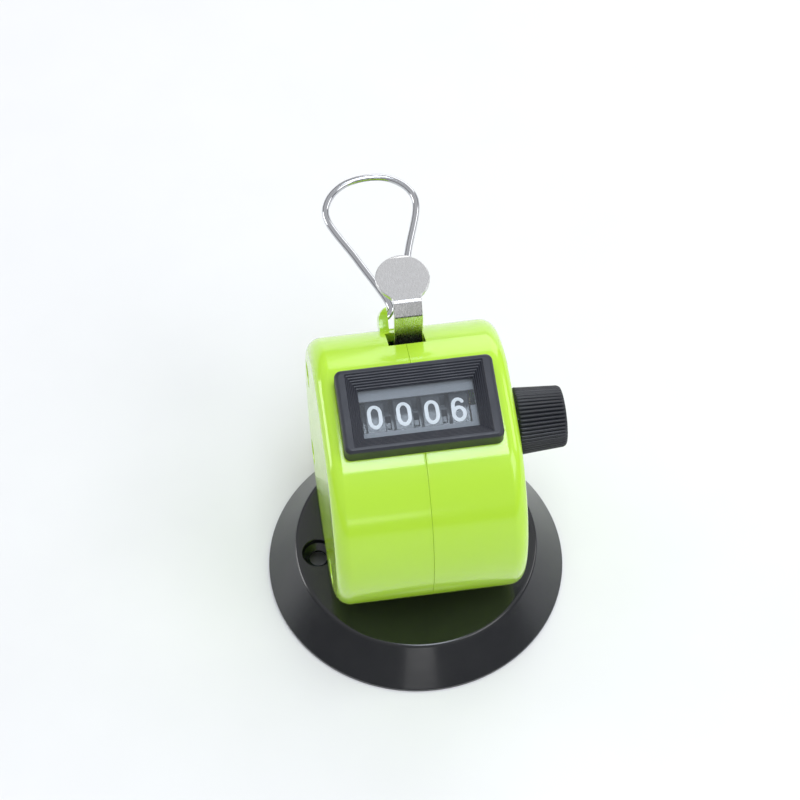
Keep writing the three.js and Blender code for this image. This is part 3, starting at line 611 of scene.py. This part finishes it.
def half_shell(side):
    """One half's outer skin: seam groove, straight barrel, then the rounded edge to the flat side."""
    barrel_end = SHELL_HALF - CASE_EDGE
    edge = [(barrel_end + along, inset) for along, inset in rounded_edge(CASE_EDGE, 12)]
    return loft([
        [(side * x, y, z) for y, z in case_outline(inset)] for x, inset in [*SEAM, *edge]])


def shell_cavity(side):
    """The hollow of one half, less the bosses for the screws. It runs past the centre plane."""
    low, high = sorted((-side * CASE_WALL, side * (SHELL_HALF - CASE_WALL)))
    cavity = extruded(case_outline(CASE_WALL, 96), low, high)
    wall = sorted((side * SCREW["boss_gap"], side * (SHELL_HALF + 2)))
    bosses = [rod(SCREW["boss"], *wall, (0, y, z), "X", 32) for y, z in SHELL_SCREWS]
    bosses.append(rod(SCREW["boss"], *BASE_SCREW["boss"], base_screw_place(side), "Z", 32))
    return cut(cavity, *bosses)


def ear_outline(reach):
    """An ear from its flared root to its round end, as (distance from the case's centre, across)."""
    radius = LUG["radius"]
    root = radius + LUG["flare"]
    inner = CASE_RADIUS - CASE_WALL / 2
    flare = [(inner, -root), (CASE_RADIUS - 0.1, -root), (CASE_RADIUS + 0.6, -radius - 0.1)]
    return [
        *flare, *arc((reach, 0), radius, -90, 90, 28), *[(x, -y) for x, y in reversed(flare)]]


def lug_solid(side):
    """One half's ear of the ring's eye, leaning out along the drum's radius."""
    outward = Vector((EYE.y - CASE_CENTRE.y, EYE.z - CASE_CENTRE.z))
    tip = outward.length + LUG["radius"]
    low, high = LUG["x"] - LUG["half"], LUG["x"] + LUG["half"]
    low, high = (low, -LUG["split"]) if side < 0 else (LUG["split"], high)
    face = rounded_rectangle(LUG["half"], tip, LUG["corner"], 14)
    depth = LUG["depth"]
    mould = loft([[(LUG["x"] + x, y, z) for x, y in face] for z in (-depth, depth)])
    ear = combined(extruded(ear_outline(outward.length), low, high), [mould], "INTERSECT")
    left, right = LUG["x"] - LUG["gap"], LUG["x"] + LUG["gap"]
    ear = cut(ear, box((left, CASE_RADIUS + 0.1, -depth), (right, tip + 1, depth)))
    turn = Matrix.Rotation(math.atan2(outward.y, outward.x), 4, "X")
    return moved(ear, Matrix.Translation((0, CASE_CENTRE.y, CASE_CENTRE.z)) @ turn)


def lug_bore():
    reach = LUG["half"] - LUG["wall"]
    return rod(LUG["hole"], LUG["x"] - reach, LUG["x"] + reach, EYE, "X", 40)


def screw_recess(y, z):
    """The tool for a case screw's sunk seat in the left side, with a chamfered mouth."""
    radius, face = SCREW["recess"], -SHELL_HALF
    profile = [
        (0, face - 1), (radius + 0.25, face - 1), (radius + 0.25, face - 0.05),
        (radius, face + 0.2), (radius, face + 2.0), (0, face + 2.0),
    ]
    return revolve(profile, 48, "X", Vector((0, y, z)))


def knob_shaft_hole():
    """The tool for the shaft's hole in the right side, with a chamfered mouth."""
    inner, face = 10, SHELL_HALF
    profile = [
        (0, inner), (SHAFT_BORE, inner), (SHAFT_BORE, face - 0.3),
        (SHAFT_BORE + 0.4, face + 0.1), (0, face + 0.1),
    ]
    return revolve(profile, 48, "X", WHEEL_AXIS)


def screw_hole_tools(side):
    """The case screws pass through the left half and end in blind holes in the right one."""
    tools = []
    for y, z in SHELL_SCREWS:
        if side < 0:
            tools.append(rod(SCREW["bore"], -SHELL_HALF - 1, 1, (0, y, z), "X", 32))
            tools.append(screw_recess(y, z))
        else:
            tools.append(rod(SCREW["bore"], -1, SCREW["blind"], (0, y, z), "X", 32))
    return tools


def shell_openings(side):
    half_x, half_y = PLUG["hole"]
    window = box((-half_x, -half_y, FACET - 6), (half_x, half_y, FACET + 6))
    front, rear = SLOT["y"]
    bottom, top = SLOT["z"]
    slot = box((SLOT["x"] - SLOT["half"], front, bottom), (SLOT["x"] + SLOT["half"], rear, top))
    foot = rod(SCREW["bore"], 0, BASE_SCREW["hole_top"], base_screw_place(side), "Z", 32)
    tools = [moved(window, window_frame()), slot, foot, *screw_hole_tools(side)]
    if side > 0:
        tools.append(knob_shaft_hole())
    return tools


def build_shells():
    for side, name in ((-1, "left_shell"), (1, "right_shell")):
        outer = join(half_shell(side), lug_solid(side))
        shell = cut(outer, shell_cavity(side))
        shell = cut(shell, *shell_openings(side), lug_bore())
        place(shell, f"{name}_moulding", "green_plastic", "case", [name], sharp=28)


# ---- window ----


def rectangle(half_x, half_y, height):
    """A rectangle with the corners cut by a hair, which shows as a light line along each mitre."""
    corner = 0.1
    points = []
    for sx, sy in ((1, 1), (-1, 1), (-1, -1), (1, -1)):
        along_x = (sx * (half_x - corner), sy * half_y, height)
        along_y = (sx * half_x, sy * (half_y - corner), height)
        points += [along_y, along_x] if sx == sy else [along_x, along_y]
    return points


def grown(half, extra, height):
    return rectangle(half[0] + extra, half[1] + extra, height)


def bezel_outer():
    half_x, half_y = BEZEL["half"]
    edge_low = BEZEL["high"] - BEZEL["edge"]
    levels = [(BEZEL["low"], 0.0)]
    levels += [(edge_low + rise, inset) for rise, inset in rounded_edge(BEZEL["edge"], 4)]
    loops = []
    for height, inset in levels:
        corner = BEZEL["corner"] - inset * 0.5
        face = rounded_rectangle(half_x - inset, half_y - inset, corner, 8)
        loops.append([(x, y, height) for x, y in face])
    return loft(loops)


def bezel_funnel():
    """The tool that leaves the four ribbed slopes: a stack of mitred rectangles, two per rib."""
    top = BEZEL["high"] - RIM["step"]
    loops = [grown(RIM["half"], RIM["gap"], BEZEL["high"] + 1),
             grown(RIM["half"], RIM["gap"], BEZEL["high"] - 0.01),
             rectangle(*RIM["half"], top)]
    for rib in range(SLOPE_RIBS):
        for share, lift in RIB_STEPS:
            t = (rib + share) / SLOPE_RIBS
            half = [rim + (end - rim) * t for rim, end in zip(RIM["half"], OPENING["half"])]
            loops.append(rectangle(*half, top + (OPENING["high"] - top) * t + lift))
    ledge = LENS["high"] - LENS["ledge"]
    loops += [rectangle(*OPENING["half"], OPENING["high"]), rectangle(*OPENING["half"], ledge),
              grown(LENS["half"], LENS["gap"], ledge - 0.01),
              grown(LENS["half"], LENS["gap"], PLUG["cut_low"])]
    return loft(loops)


def window_plate(plate):
    half_x, half_y = LENS["half"]
    return box((-half_x, -half_y, plate["low"]), (half_x, half_y, plate["high"]))


def mask_slot():
    """The opening over the wheels and the notch that lengthens its rear half to the right."""
    low, high = MASK["cut"]
    (left, right), (front, rear) = MASK["slot_x"], MASK["slot_y"]
    notch_right, notch_front = MASK["notch"]
    notch = box((right - 1, notch_front, low), (notch_right, rear, high))
    return box((left, front, low), (right, rear, high)), notch


def build_window():
    half_x, half_y = PLUG["half"]
    plug = box((-half_x, -half_y, PLUG["low"]), (half_x, half_y, BEZEL["low"] + 0.5))
    bezel = moved(cut(join(bezel_outer(), plug), bezel_funnel()), window_frame())
    place(bezel, "bezel_moulding", "slate_plastic", "case", ["window_bezel"], sharp=20)
    lens = moved(window_plate(LENS), window_frame())
    place(lens, "lens_plate", "clear_plastic", "case", ["window_lens"], soften=0.12)
    mask = moved(cut(window_plate(MASK), *mask_slot()), window_frame())
    place(mask, "mask_plate", "mask_plastic", "case", ["number_mask"],
          soften=0.05)


# ---- number wheels ----


def oval(centre, width, height, start, end, steps):
    """Points on an upright oval's outline, in degrees, both ends included."""
    return [(centre[0] + width * x, centre[1] + height * y)
            for x, y in arc((0, 0), 1, start, end, steps)]


def stroke_path(figure):
    """A figure's centre lines in a box of half width 1 and half height 1, as lists of points."""
    # The nought is two half circles set apart, pressed to the height of the box.
    tall = arc((0, 0.42), 1.0, 0, 180, 14) + arc((0, -0.42), 1.0, 180, 360, 14)
    zero = [(x, y * 0.704) for x, y in tall]
    figures = {
        "0": [zero + [zero[0]]],
        "1": [[(-0.45, 0.62), (0.1, 1.0), (0.1, -1.0)]],
        "2": [oval((0, 0.45), 0.95, 0.55, 165, -30, 18) + [(-0.95, -1.0), (1.0, -1.0)]],
        "3": [oval((0, 0.5), 0.85, 0.5, 150, -80, 18) + oval((0, -0.48), 1.0, 0.52, 80, -150, 20)],
        "4": [[(0.45, -1.0), (0.45, 1.0), (-1.0, -0.42), (1.0, -0.42)]],
        "5": [[(0.85, 1.0), (-0.75, 1.0), (-0.85, 0.12)]
              + oval((0, -0.38), 1.0, 0.62, 130, -150, 22)],
        "6": [oval((0, 0.3), 0.95, 0.7, 38, 180, 14)[:14] + [(-0.97, 0.2), (-1.0, -0.3)]
              + oval((0, -0.42), 1.0, 0.58, 190, 540, 30)],
        "7": [[(-1.0, 1.0), (1.0, 1.0), (-0.25, -1.0)]],
        "8": [oval((0, 0.52), 0.8, 0.48, 0, 360, 26), oval((0, -0.47), 1.0, 0.53, 0, 360, 28)],
        "9": [oval((0, -0.3), 0.95, 0.7, 218, 360, 14)[:14] + [(0.97, -0.2), (1.0, 0.3)]
              + oval((0, 0.42), 1.0, 0.58, 10, 360, 30)],
    }
    return figures[figure]


def resampled(points, spacing):
    """Points at an even spacing along a polyline."""
    dense = [Vector(points[0])]
    for start, end in zip(points, points[1:]):
        a, b = Vector(start), Vector(end)
        pieces = max(1, round((b - a).length / spacing))
        dense += [a.lerp(b, k / pieces) for k in range(1, pieces + 1)]
    return dense


def left_of(heading):
    return Vector((-heading.y, heading.x))


def ribbon_rows(points, closed):
    """The left and right edge of a stroke at each point, mitred, and the headings there."""
    count = len(points)
    rows = []
    headings = []
    for i, point in enumerate(points):
        before = points[i - 1] if closed or i else point
        after = points[(i + 1) % count] if closed or i < count - 1 else point
        outward = (after - point).normalized()
        heading = ((point - before).normalized() + outward).normalized()
        across = left_of(heading)
        steer = across.dot(left_of(outward)) if outward.length else 1.0
        reach = DIGIT["stroke"] / 2 / max(0.6, abs(steer))
        rows.append((point + across * reach, point - across * reach))
        headings.append(heading)
    return rows, headings


def end_rows(middle, heading, shares):
    """The edges across a stroke's round end, at shares of its radius ahead of its middle."""
    half = DIGIT["stroke"] / 2
    rows = []
    for share in shares:
        spot = middle + heading * half * share
        across = left_of(heading) * (half * math.sqrt(1 - share * share))
        rows.append((spot + across, spot - across))
    return rows


def rim_point(point, rise, middle, turn):
    """A point of a flat figure, laid on a wheel's rim with the figure's centre at an angle."""
    angle = turn - point.y / WHEEL["radius"]
    return Vector((middle + point.x, *round_wheels(WHEEL["radius"] + rise, angle)))


def add_stroke(mesh, points, middle, turn):
    """Adds one raised stroke to the rim: a mitred ribbon, closed on itself or with round ends."""
    closed = (points[0] - points[-1]).length < 1e-6
    if closed:
        points = points[:-1]
    rows, headings = ribbon_rows(points, closed)
    if not closed:
        start = end_rows(points[0], headings[0], [-share for share in reversed(STROKE_END)])
        rows = start + rows + end_rows(points[-1], headings[-1], STROKE_END)
    sunk, rise = DIGIT["sunk"], DIGIT["rise"]
    rings = []
    for left, right in rows:
        corners = ((left, sunk), (right, sunk), (right, rise), (left, rise))
        rings.append([mesh.verts.new(rim_point(*corner, middle, turn)) for corner in corners])
    skin(mesh, rings, closed)


def build_digits(name, start, shown):
    """The ten figures round a wheel's rim. The shown one faces along the window's view line."""
    mesh = bmesh.new()
    middle = start + sum(WHEEL["band"]) / 2 + DIGIT_SHIFT[name]
    facing = math.pi / 2 + DIGIT["lean"] - WHEEL_SLACK[name] / WHEEL["radius"]
    half_x, half_y = ((DIGIT[key] - DIGIT["stroke"]) / 2 for key in ("width", "height"))
    for value in range(10):
        turn = facing + (value - shown) * TAU / 10
        for path in stroke_path(str(value)):
            sized = [(x * half_x, y * half_y) for x, y in path]
            add_stroke(mesh, resampled(sized, DIGIT["spacing"]), middle, turn)
    place(cleaned(mesh), f"{name}_digits", "digit_ink", name)


def tooth_outline(tooth, angle):
    return [round_wheels(radius, angle + offset / radius) for radius, offset in tooth]


def gear_outline():
    """The outline of a wheel's gear, whose teeth have rounded flanks."""
    points = []
    for i in range(GEAR["teeth"]):
        points += tooth_outline(GEAR_TOOTH, FIRST_TOOTH + TAU * i / GEAR["teeth"])
    return points


def wheel_body(start, has_gear, has_carry):
    """A drum on a hub. A gear stands on its right side and two carry teeth on its left."""
    low, high = (start + side for side in WHEEL["band"])
    radius, hub, edge = (WHEEL[key] for key in ("radius", "hub", "edge"))
    profile = [
        (SHAFT_BORE, start), (hub, start), (hub, low), (radius - edge, low), (radius, low + edge),
        (radius, high - edge), (radius - edge, high), (SHAFT_BORE, high),
    ]
    pieces = []
    if has_gear:
        gear = extruded(gear_outline(), high - 0.2, start + WHEEL["gear_end"])
        pieces.append(cut(gear, rod(SHAFT_BORE, start - 1, start + 7, WHEEL_AXIS, "X", 40)))
    for step in CARRY_STEPS if has_carry else ():
        angle = FIRST_TOOTH - step * TAU / GEAR["teeth"]
        pieces.append(extruded(tooth_outline(CARRY_TOOTH, angle), start, low + 0.2))
    return join(hoop(profile, 120, "X", WHEEL_AXIS), *pieces)


def build_wheels():
    for order, name in enumerate(WHEELS):
        start = WHEEL["first"] + order * WHEEL["pitch"]
        is_units = name == "units"
        body = wheel_body(start, not is_units, order > 0)
        place(body, f"{name}_drum", "wheel_plastic", name, [f"{name}_wheel"])
        build_digits(name, start, 6 if is_units else 0)


# ---- knob ----


def knob_stations():
    """The grip from the case outwards, as (x, radius, share of the ribs' full depth)."""
    start, end, root, tip = (KNOB[key] for key in ("start", "end", "root", "tip"))
    lead, chamfer = KNOB["lead"], KNOB["chamfer"]
    stations = [
        (start, root - 0.35, 0.0), (start + lead / 2, root - 0.1, 0.5), (start + lead, root, 1.0)]
    for i in range(1, 7):
        x = start + lead + (end - chamfer - start - lead) * i / 6
        stations.append((x, root + (tip - root) * (x - start) / (end - start), 1.0))
    for i, (along, inset) in enumerate(rounded_edge(chamfer, 5)[1:], 1):
        stations.append((end - chamfer + along, tip - inset, max(0.0, 1 - i / 3)))
    return [*stations, (end - 0.02, tip - 1.6, 0.0), (end - 0.25, tip - 1.9, 0.0)]


def ribbed_ring(x, radius, ribbed):
    per_rib = 8
    count = KNOB["ribs"] * per_rib
    ring = []
    for i in range(count):
        wave = abs(math.sin(math.pi * i / per_rib)) ** 0.7
        reach = radius - KNOB["depth"] * ribbed * (1 - wave)
        ring.append((x, *round_wheels(reach, TAU * i / count)))
    return ring


def build_knob():
    """A tapering grip with fine rounded ribs that run out into the chamfer at its end."""
    grip = loft([ribbed_ring(*station) for station in knob_stations()])
    shaft_hole = rod(SHAFT_BORE, KNOB["start"] - 1, KNOB["end"] - 1.7, WHEEL_AXIS)
    place(cut(grip, shaft_hole), "knob_grip", "knob_plastic", "reset", ["reset_knob"],
          sharp=40)


# ---- thumb lever ----


def strip_width(y):
    """Half width of the strip at a place along the pad, flaring smoothly into the disc."""
    offset = y - PAD["y"]
    disc = math.sqrt(max(0.0, PAD["radius"] ** 2 - offset ** 2))
    if offset > 0:
        return max(disc, 0.35)  # the pad ends in a short flat, not in a point
    blend = 7.0
    return (disc ** blend + STRIP["half"] ** blend) ** (1 / blend)


def towards(degrees):
    angle = math.radians(degrees)
    return Vector((math.cos(angle), math.sin(angle)))


def bent_path(corners, radii):
    """Points and headings along a strip's middle line; its outer face follows the rounded corners."""
    headings = [math.degrees(math.atan2(b[1] - a[1], b[0] - a[0])) for a, b in zip(corners, corners[1:])]
    half_thick = STRIP["thick"] / 2
    path = [(Vector(corners[0]) - left_of(towards(headings[0])) * half_thick, headings[0])]
    for corner, radius, before, after in zip(corners[1:-1], radii, headings, headings[1:]):
        back = radius * math.tan(math.radians(before - after) / 2)
        centre = Vector(corner) - towards(before) * back - left_of(towards(before)) * radius
        steps = max(3, round((before - after) / 6))
        for i in range(steps + 1):
            heading = before + (after - before) * i / steps
            path.append((centre + left_of(towards(heading)) * (radius - half_thick), heading))
    return path


def lever_strip():
    """Sections swept up the strip, over its slanted bend and out along the pad."""
    thick, top, y = (STRIP[key] for key in ("thick", "top", "y"))
    pad_y, slant_z = STRIP["bend"]
    end = PAD["y"] + PAD["radius"]
    path = bent_path([(y, STRIP["low"]), (y, slant_z), (pad_y, top), (end, top)], STRIP_RADII)
    start_y = path[-1][0].x
    steps = 44
    for i in range(1, steps + 1):
        t = math.sin(math.pi / 2 * i / steps)
        path.append((Vector((start_y + (end - start_y) * t, top - thick / 2)), 0.0))
    loops = []
    for (py, pz), heading in path:
        half = strip_width(py) if heading == 0 else STRIP["half"]
        share = max(0.0, min(1.0, (py - start_y) / (PAD["y"] - start_y)))
        x = STRIP["x"] + (PAD["x"] - STRIP["x"]) * share
        normal = Vector((0, *left_of(towards(heading))))
        loops.append([
            Vector((x + u, py, pz)) + normal * v
            for u, v in rounded_rectangle(half, thick / 2, min(0.22, half * 0.5), 4)])
    return loft(loops)


def lever_arm(low):
    """A side plate from the pivot back to the bridge. The right one also carries the pawl's pin."""
    half, high = ARM["half"], low + ARM["thick"]
    floor, ceiling = BRIDGE["z"]
    rear = STRIP["y"] + STRIP["thick"]
    outline = arc((PIVOT.y, PIVOT.z), ARM["boss"], 72, 234, 20)
    outline += [(-6, 40.8 - half), (2, 40.6 - half), (9.5, 38.4), (rear, floor), (rear, ceiling),
                (STRIP["y"] - 2, ceiling), (9.5, 43.6), (2, 40.6 + half), (-6, 41 + half)]
    holes = [rod(ARM["bore"], low - 1, high + 1, PIVOT, "X", 32)]
    if low > 0:
        pin = (0, PAWL_PIN["y"], PAWL_PIN["z"])
        holes.append(rod(PAWL_PIN["bore"], low - 1, high + 1, pin, "X", 24))
    return cut(extruded(outline, low, high), *holes)


def build_lever():
    y, thick = STRIP["y"], STRIP["thick"]
    (left, right), (bottom, top) = BRIDGE["x"], BRIDGE["z"]
    bridge = box((left, y + 0.01, bottom), (right, y + thick - 0.01, top))
    (front, rear), (bottom, top) = FOOT["y"], FOOT["z"]
    foot = box((-FOOT["half"], front, bottom), (FOOT["half"], rear, top))
    arms = [lever_arm(ARM[side]) for side in ("left", "right")]
    place(join(lever_strip(), bridge, foot, *arms), "lever_strip", "satin", "lever",
          ["thumb_lever"], sharp=30)


# ---- finger ring ----


def catmull_rom(points, per_span):
    """A smooth open curve through points, evenly stepped in each span (centripetal)."""
    points = [2 * points[0] - points[1], *points, 2 * points[-1] - points[-2]]
    smooth = []
    for p0, p1, p2, p3 in zip(points, points[1:], points[2:], points[3:]):
        t1 = math.sqrt((p1 - p0).length)
        t2 = t1 + math.sqrt((p2 - p1).length)
        t3 = t2 + math.sqrt((p3 - p2).length)
        for k in range(per_span):
            t = t1 + (t2 - t1) * k / per_span
            a1 = p0.lerp(p1, t / t1)
            a2 = p1.lerp(p2, (t - t1) / (t2 - t1))
            a3 = p2 + (p3 - p2) * ((t - t2) / (t3 - t2))
            b1 = a1 + (a2 - a1) * (t / t2)
            b2 = a2 + (a3 - a2) * ((t - t1) / (t3 - t1))
            smooth.append(b1 + (b2 - b1) * ((t - t1) / (t2 - t1)))
    return [*smooth, points[-2]]


def build_ring():
    """One wire: a stub end in each ear, two legs that spread from the neck, and a round far end."""
    length, half, neck, pin = (RING[key] for key in ("length", "half", "neck", "pin"))
    side = [(pin, 0), (neck + 1.1, 0), (neck, 1.15), (neck + 0.1, 3),
            ((neck + half) / 2 + 0.1, (length - 4.3) / 2),
            (half, length - 7.3), (half * 0.87, length - 3.6), (half * 0.5, length - 0.85)]
    points = [*side, (0, length), *[(-x, y) for x, y in reversed(side)]]
    path = catmull_rom([Vector((x, y, 0)) for x, y in points], 12)
    sides = 20
    loops = []
    for i, point in enumerate(path):
        along = (path[min(i + 1, len(path) - 1)] - path[max(i - 1, 0)]).normalized()
        across = Vector((along.y, -along.x, 0))
        loops.append([
            point + across * u + Vector((0, 0, v))
            for u, v in arc((0, 0), RING["wire"], 0, 360 - 360 / sides, sides - 1)])
    turn = Matrix.Rotation(math.radians(90 - RING["tilt"]), 4, "X")
    skew = Matrix.Rotation(math.radians(RING["skew"]), 4, "Z")
    where = Matrix.Translation((LUG["x"], EYE.y, EYE.z)) @ turn @ skew
    place(moved(loft(loops), where), "ring_wire", "chrome", "ring", ["finger_ring"])


# ---- screws ----


def screw_mesh(length):
    """A cross-recessed pan head with its shank along +Z from the head's underside."""
    head, height, shank = SCREW["head"], SCREW["height"], SCREW["shank"]
    profile = [
        (0, -height), (head * 0.5, -height + 0.02), (head * 0.8, -height + 0.16),
        (head * 0.97, -height + 0.5), (head, -height + 0.85), (head, 0), (shank, 0),
        (shank, length - 0.8), (shank * 0.4, length), (0, length),
    ]
    long, wide, floor = CROSS["long"], CROSS["wide"], -height + CROSS["deep"]
    slots = [box((-x, -y, -height - 1), (x, y, floor)) for x, y in ((long, wide), (wide, long))]
    return cut(revolve(profile, 56), join(*slots))


def build_screw(name, node, length, where, turn):
    spin = Matrix.Rotation(math.radians(turn), 4, "Z")
    place(moved(screw_mesh(length), where @ spin), name, "steel", "case", [node])


def build_screws():
    head_x = -SHELL_HALF + SCREW["height"] + SCREW["sunk"]
    for i, (y, z) in enumerate(SHELL_SCREWS, 1):
        where = Matrix.Translation((head_x, y, z)) @ Matrix.Rotation(math.pi / 2, 4, "Y")
        build_screw(f"case_screw_{i}", f"shell_screw_{i}", SCREW["case_length"], where, 25 * i)
    head_z = BASE_HIGH.z - BASE["plate"] - SCREW["sunk"]
    for i, side in enumerate((-1, 1), 1):
        where = Matrix.Translation((side * BASE_SCREW["x"], BASE_SCREW["y"], head_z))
        build_screw(f"under_screw_{i}", f"base_screw_{i}", SCREW["base_length"], where, 20 * i)


# ---- carried-over nodes ----


def finish_inner_nodes():
    """The mechanism keeps its CAD shape and gets its material and smooth shading here."""
    slots = {row["node"]: row["material_slot"] for row in frame["record"]["subparts"]}
    for name, item in frame["nodes"].items():
        if item.hide_render:
            continue
        item.data.materials.clear()
        item.data.materials.append(LOOKS[slots[name]])
        item.data.shade_smooth()
        item.data.set_sharp_from_angle(angle=math.radians(32))


# ---- stage ----


def build_floor():
    data = bpy.data.meshes.new("floor")
    mesh = bmesh.new()
    bmesh.ops.create_grid(mesh, x_segments=1, y_segments=1, size=FLOOR_HALF)
    mesh.to_mesh(data)
    mesh.free()
    data.materials.append(paper_floor())
    floor = bpy.data.objects.new("floor", data)
    bpy.context.scene.collection.objects.link(floor)


def towards_room(azimuth, elevation):
    """The direction from the counter to a place round it; azimuth 0 is the reader's side."""
    az, el = math.radians(azimuth), math.radians(elevation)
    return Vector((math.sin(az) * math.cos(el), -math.cos(az) * math.cos(el), math.sin(el)))


def area_lamp(name, size, power, tint=(1, 1, 1)):
    data = bpy.data.lights.new(name, "AREA")
    data.shape = "RECTANGLE"
    data.size, data.size_y = size
    data.energy = power
    data.color = tint
    lamp = bpy.data.objects.new(name, data)
    bpy.context.scene.collection.objects.link(lamp)
    return lamp


def soft_light(name, azimuth, elevation, distance, size, power):
    """A rectangular area light that is aimed at the counter."""
    lamp = area_lamp(name, size, power)
    away = towards_room(azimuth, elevation)
    lamp.location = LAMP_TARGET + away * distance
    lamp.rotation_euler = away.to_track_quat("Z", "Y").to_euler()


def overhead_softbox():
    """A soft panel above the reader's side. The number wheels mirror it up to the middle of the
    figures; the clear window, which leans further back, looks past its rear edge."""
    size = (PANEL["width"] * MM, PANEL["depth"] * MM)
    lamp = area_lamp("overhead", size, PANEL["power"], PANEL_TINT)
    lamp.location = Vector((PANEL["x"], PANEL["rear"] - PANEL["depth"] / 2, PANEL["height"])) * MM


def build_room():
    """A pale world whose brightness depends on the height of the direction only."""
    world = bpy.data.worlds.new("studio")
    bpy.context.scene.world = world
    world.use_nodes = True
    tree = world.node_tree
    split = tree.nodes.new("ShaderNodeSeparateXYZ")
    ramp = tree.nodes.new("ShaderNodeValToRGB")
    spot = tree.nodes.new("ShaderNodeTexCoord")
    tree.links.new(spot.outputs["Generated"], split.inputs["Vector"])
    tree.links.new(split.outputs["Z"], ramp.inputs["Fac"])
    tree.links.new(ramp.outputs["Color"], tree.nodes["Background"].inputs["Color"])
    stops = ramp.color_ramp.elements
    while len(stops) < len(ROOM):
        stops.new(0.5)
    for stop, (height, tone) in zip(stops, ROOM):
        stop.position = height
        stop.color = (*[tone * share for share in ROOM_TINT], 1)


def build_lights():
    build_room()
    overhead_softbox()
    for lamp in LAMPS:
        soft_light(*lamp)


def camera_axes():
    """The camera's right, up and backward directions and its place, in millimetres."""
    back = towards_room(CAMERA["azimuth"], CAMERA["elevation"])
    right = (-back).cross(Vector((0, 0, 1))).normalized()
    up = right.cross(-back)
    roll = math.radians(CAMERA["roll"])
    right, up = (math.cos(roll) * right - math.sin(roll) * up,
                 math.sin(roll) * right + math.cos(roll) * up)
    shift_x, shift_y = CAMERA["shift"]
    spot = back * CAMERA["distance"] + right * shift_x + up * shift_y
    return right, up, back, spot + Vector((0, 0, CAMERA["aim_height"]))


def build_camera():
    right, up, back, spot = camera_axes()
    data = bpy.data.cameras.new("camera")
    data.lens = CAMERA["lens"]
    data.sensor_width = 36
    camera = bpy.data.objects.new("camera", data)
    turn = Matrix((right, up, back)).transposed().to_4x4()
    camera.matrix_world = Matrix.Translation(spot * MM) @ turn
    bpy.context.scene.collection.objects.link(camera)
    bpy.context.scene.camera = camera


build_base()
build_shells()
build_window()
build_wheels()
build_knob()
build_lever()
build_ring()
build_screws()
finish_inner_nodes()
build_floor()
build_lights()
build_camera()
bpy.context.scene.view_settings.view_transform = "Standard"
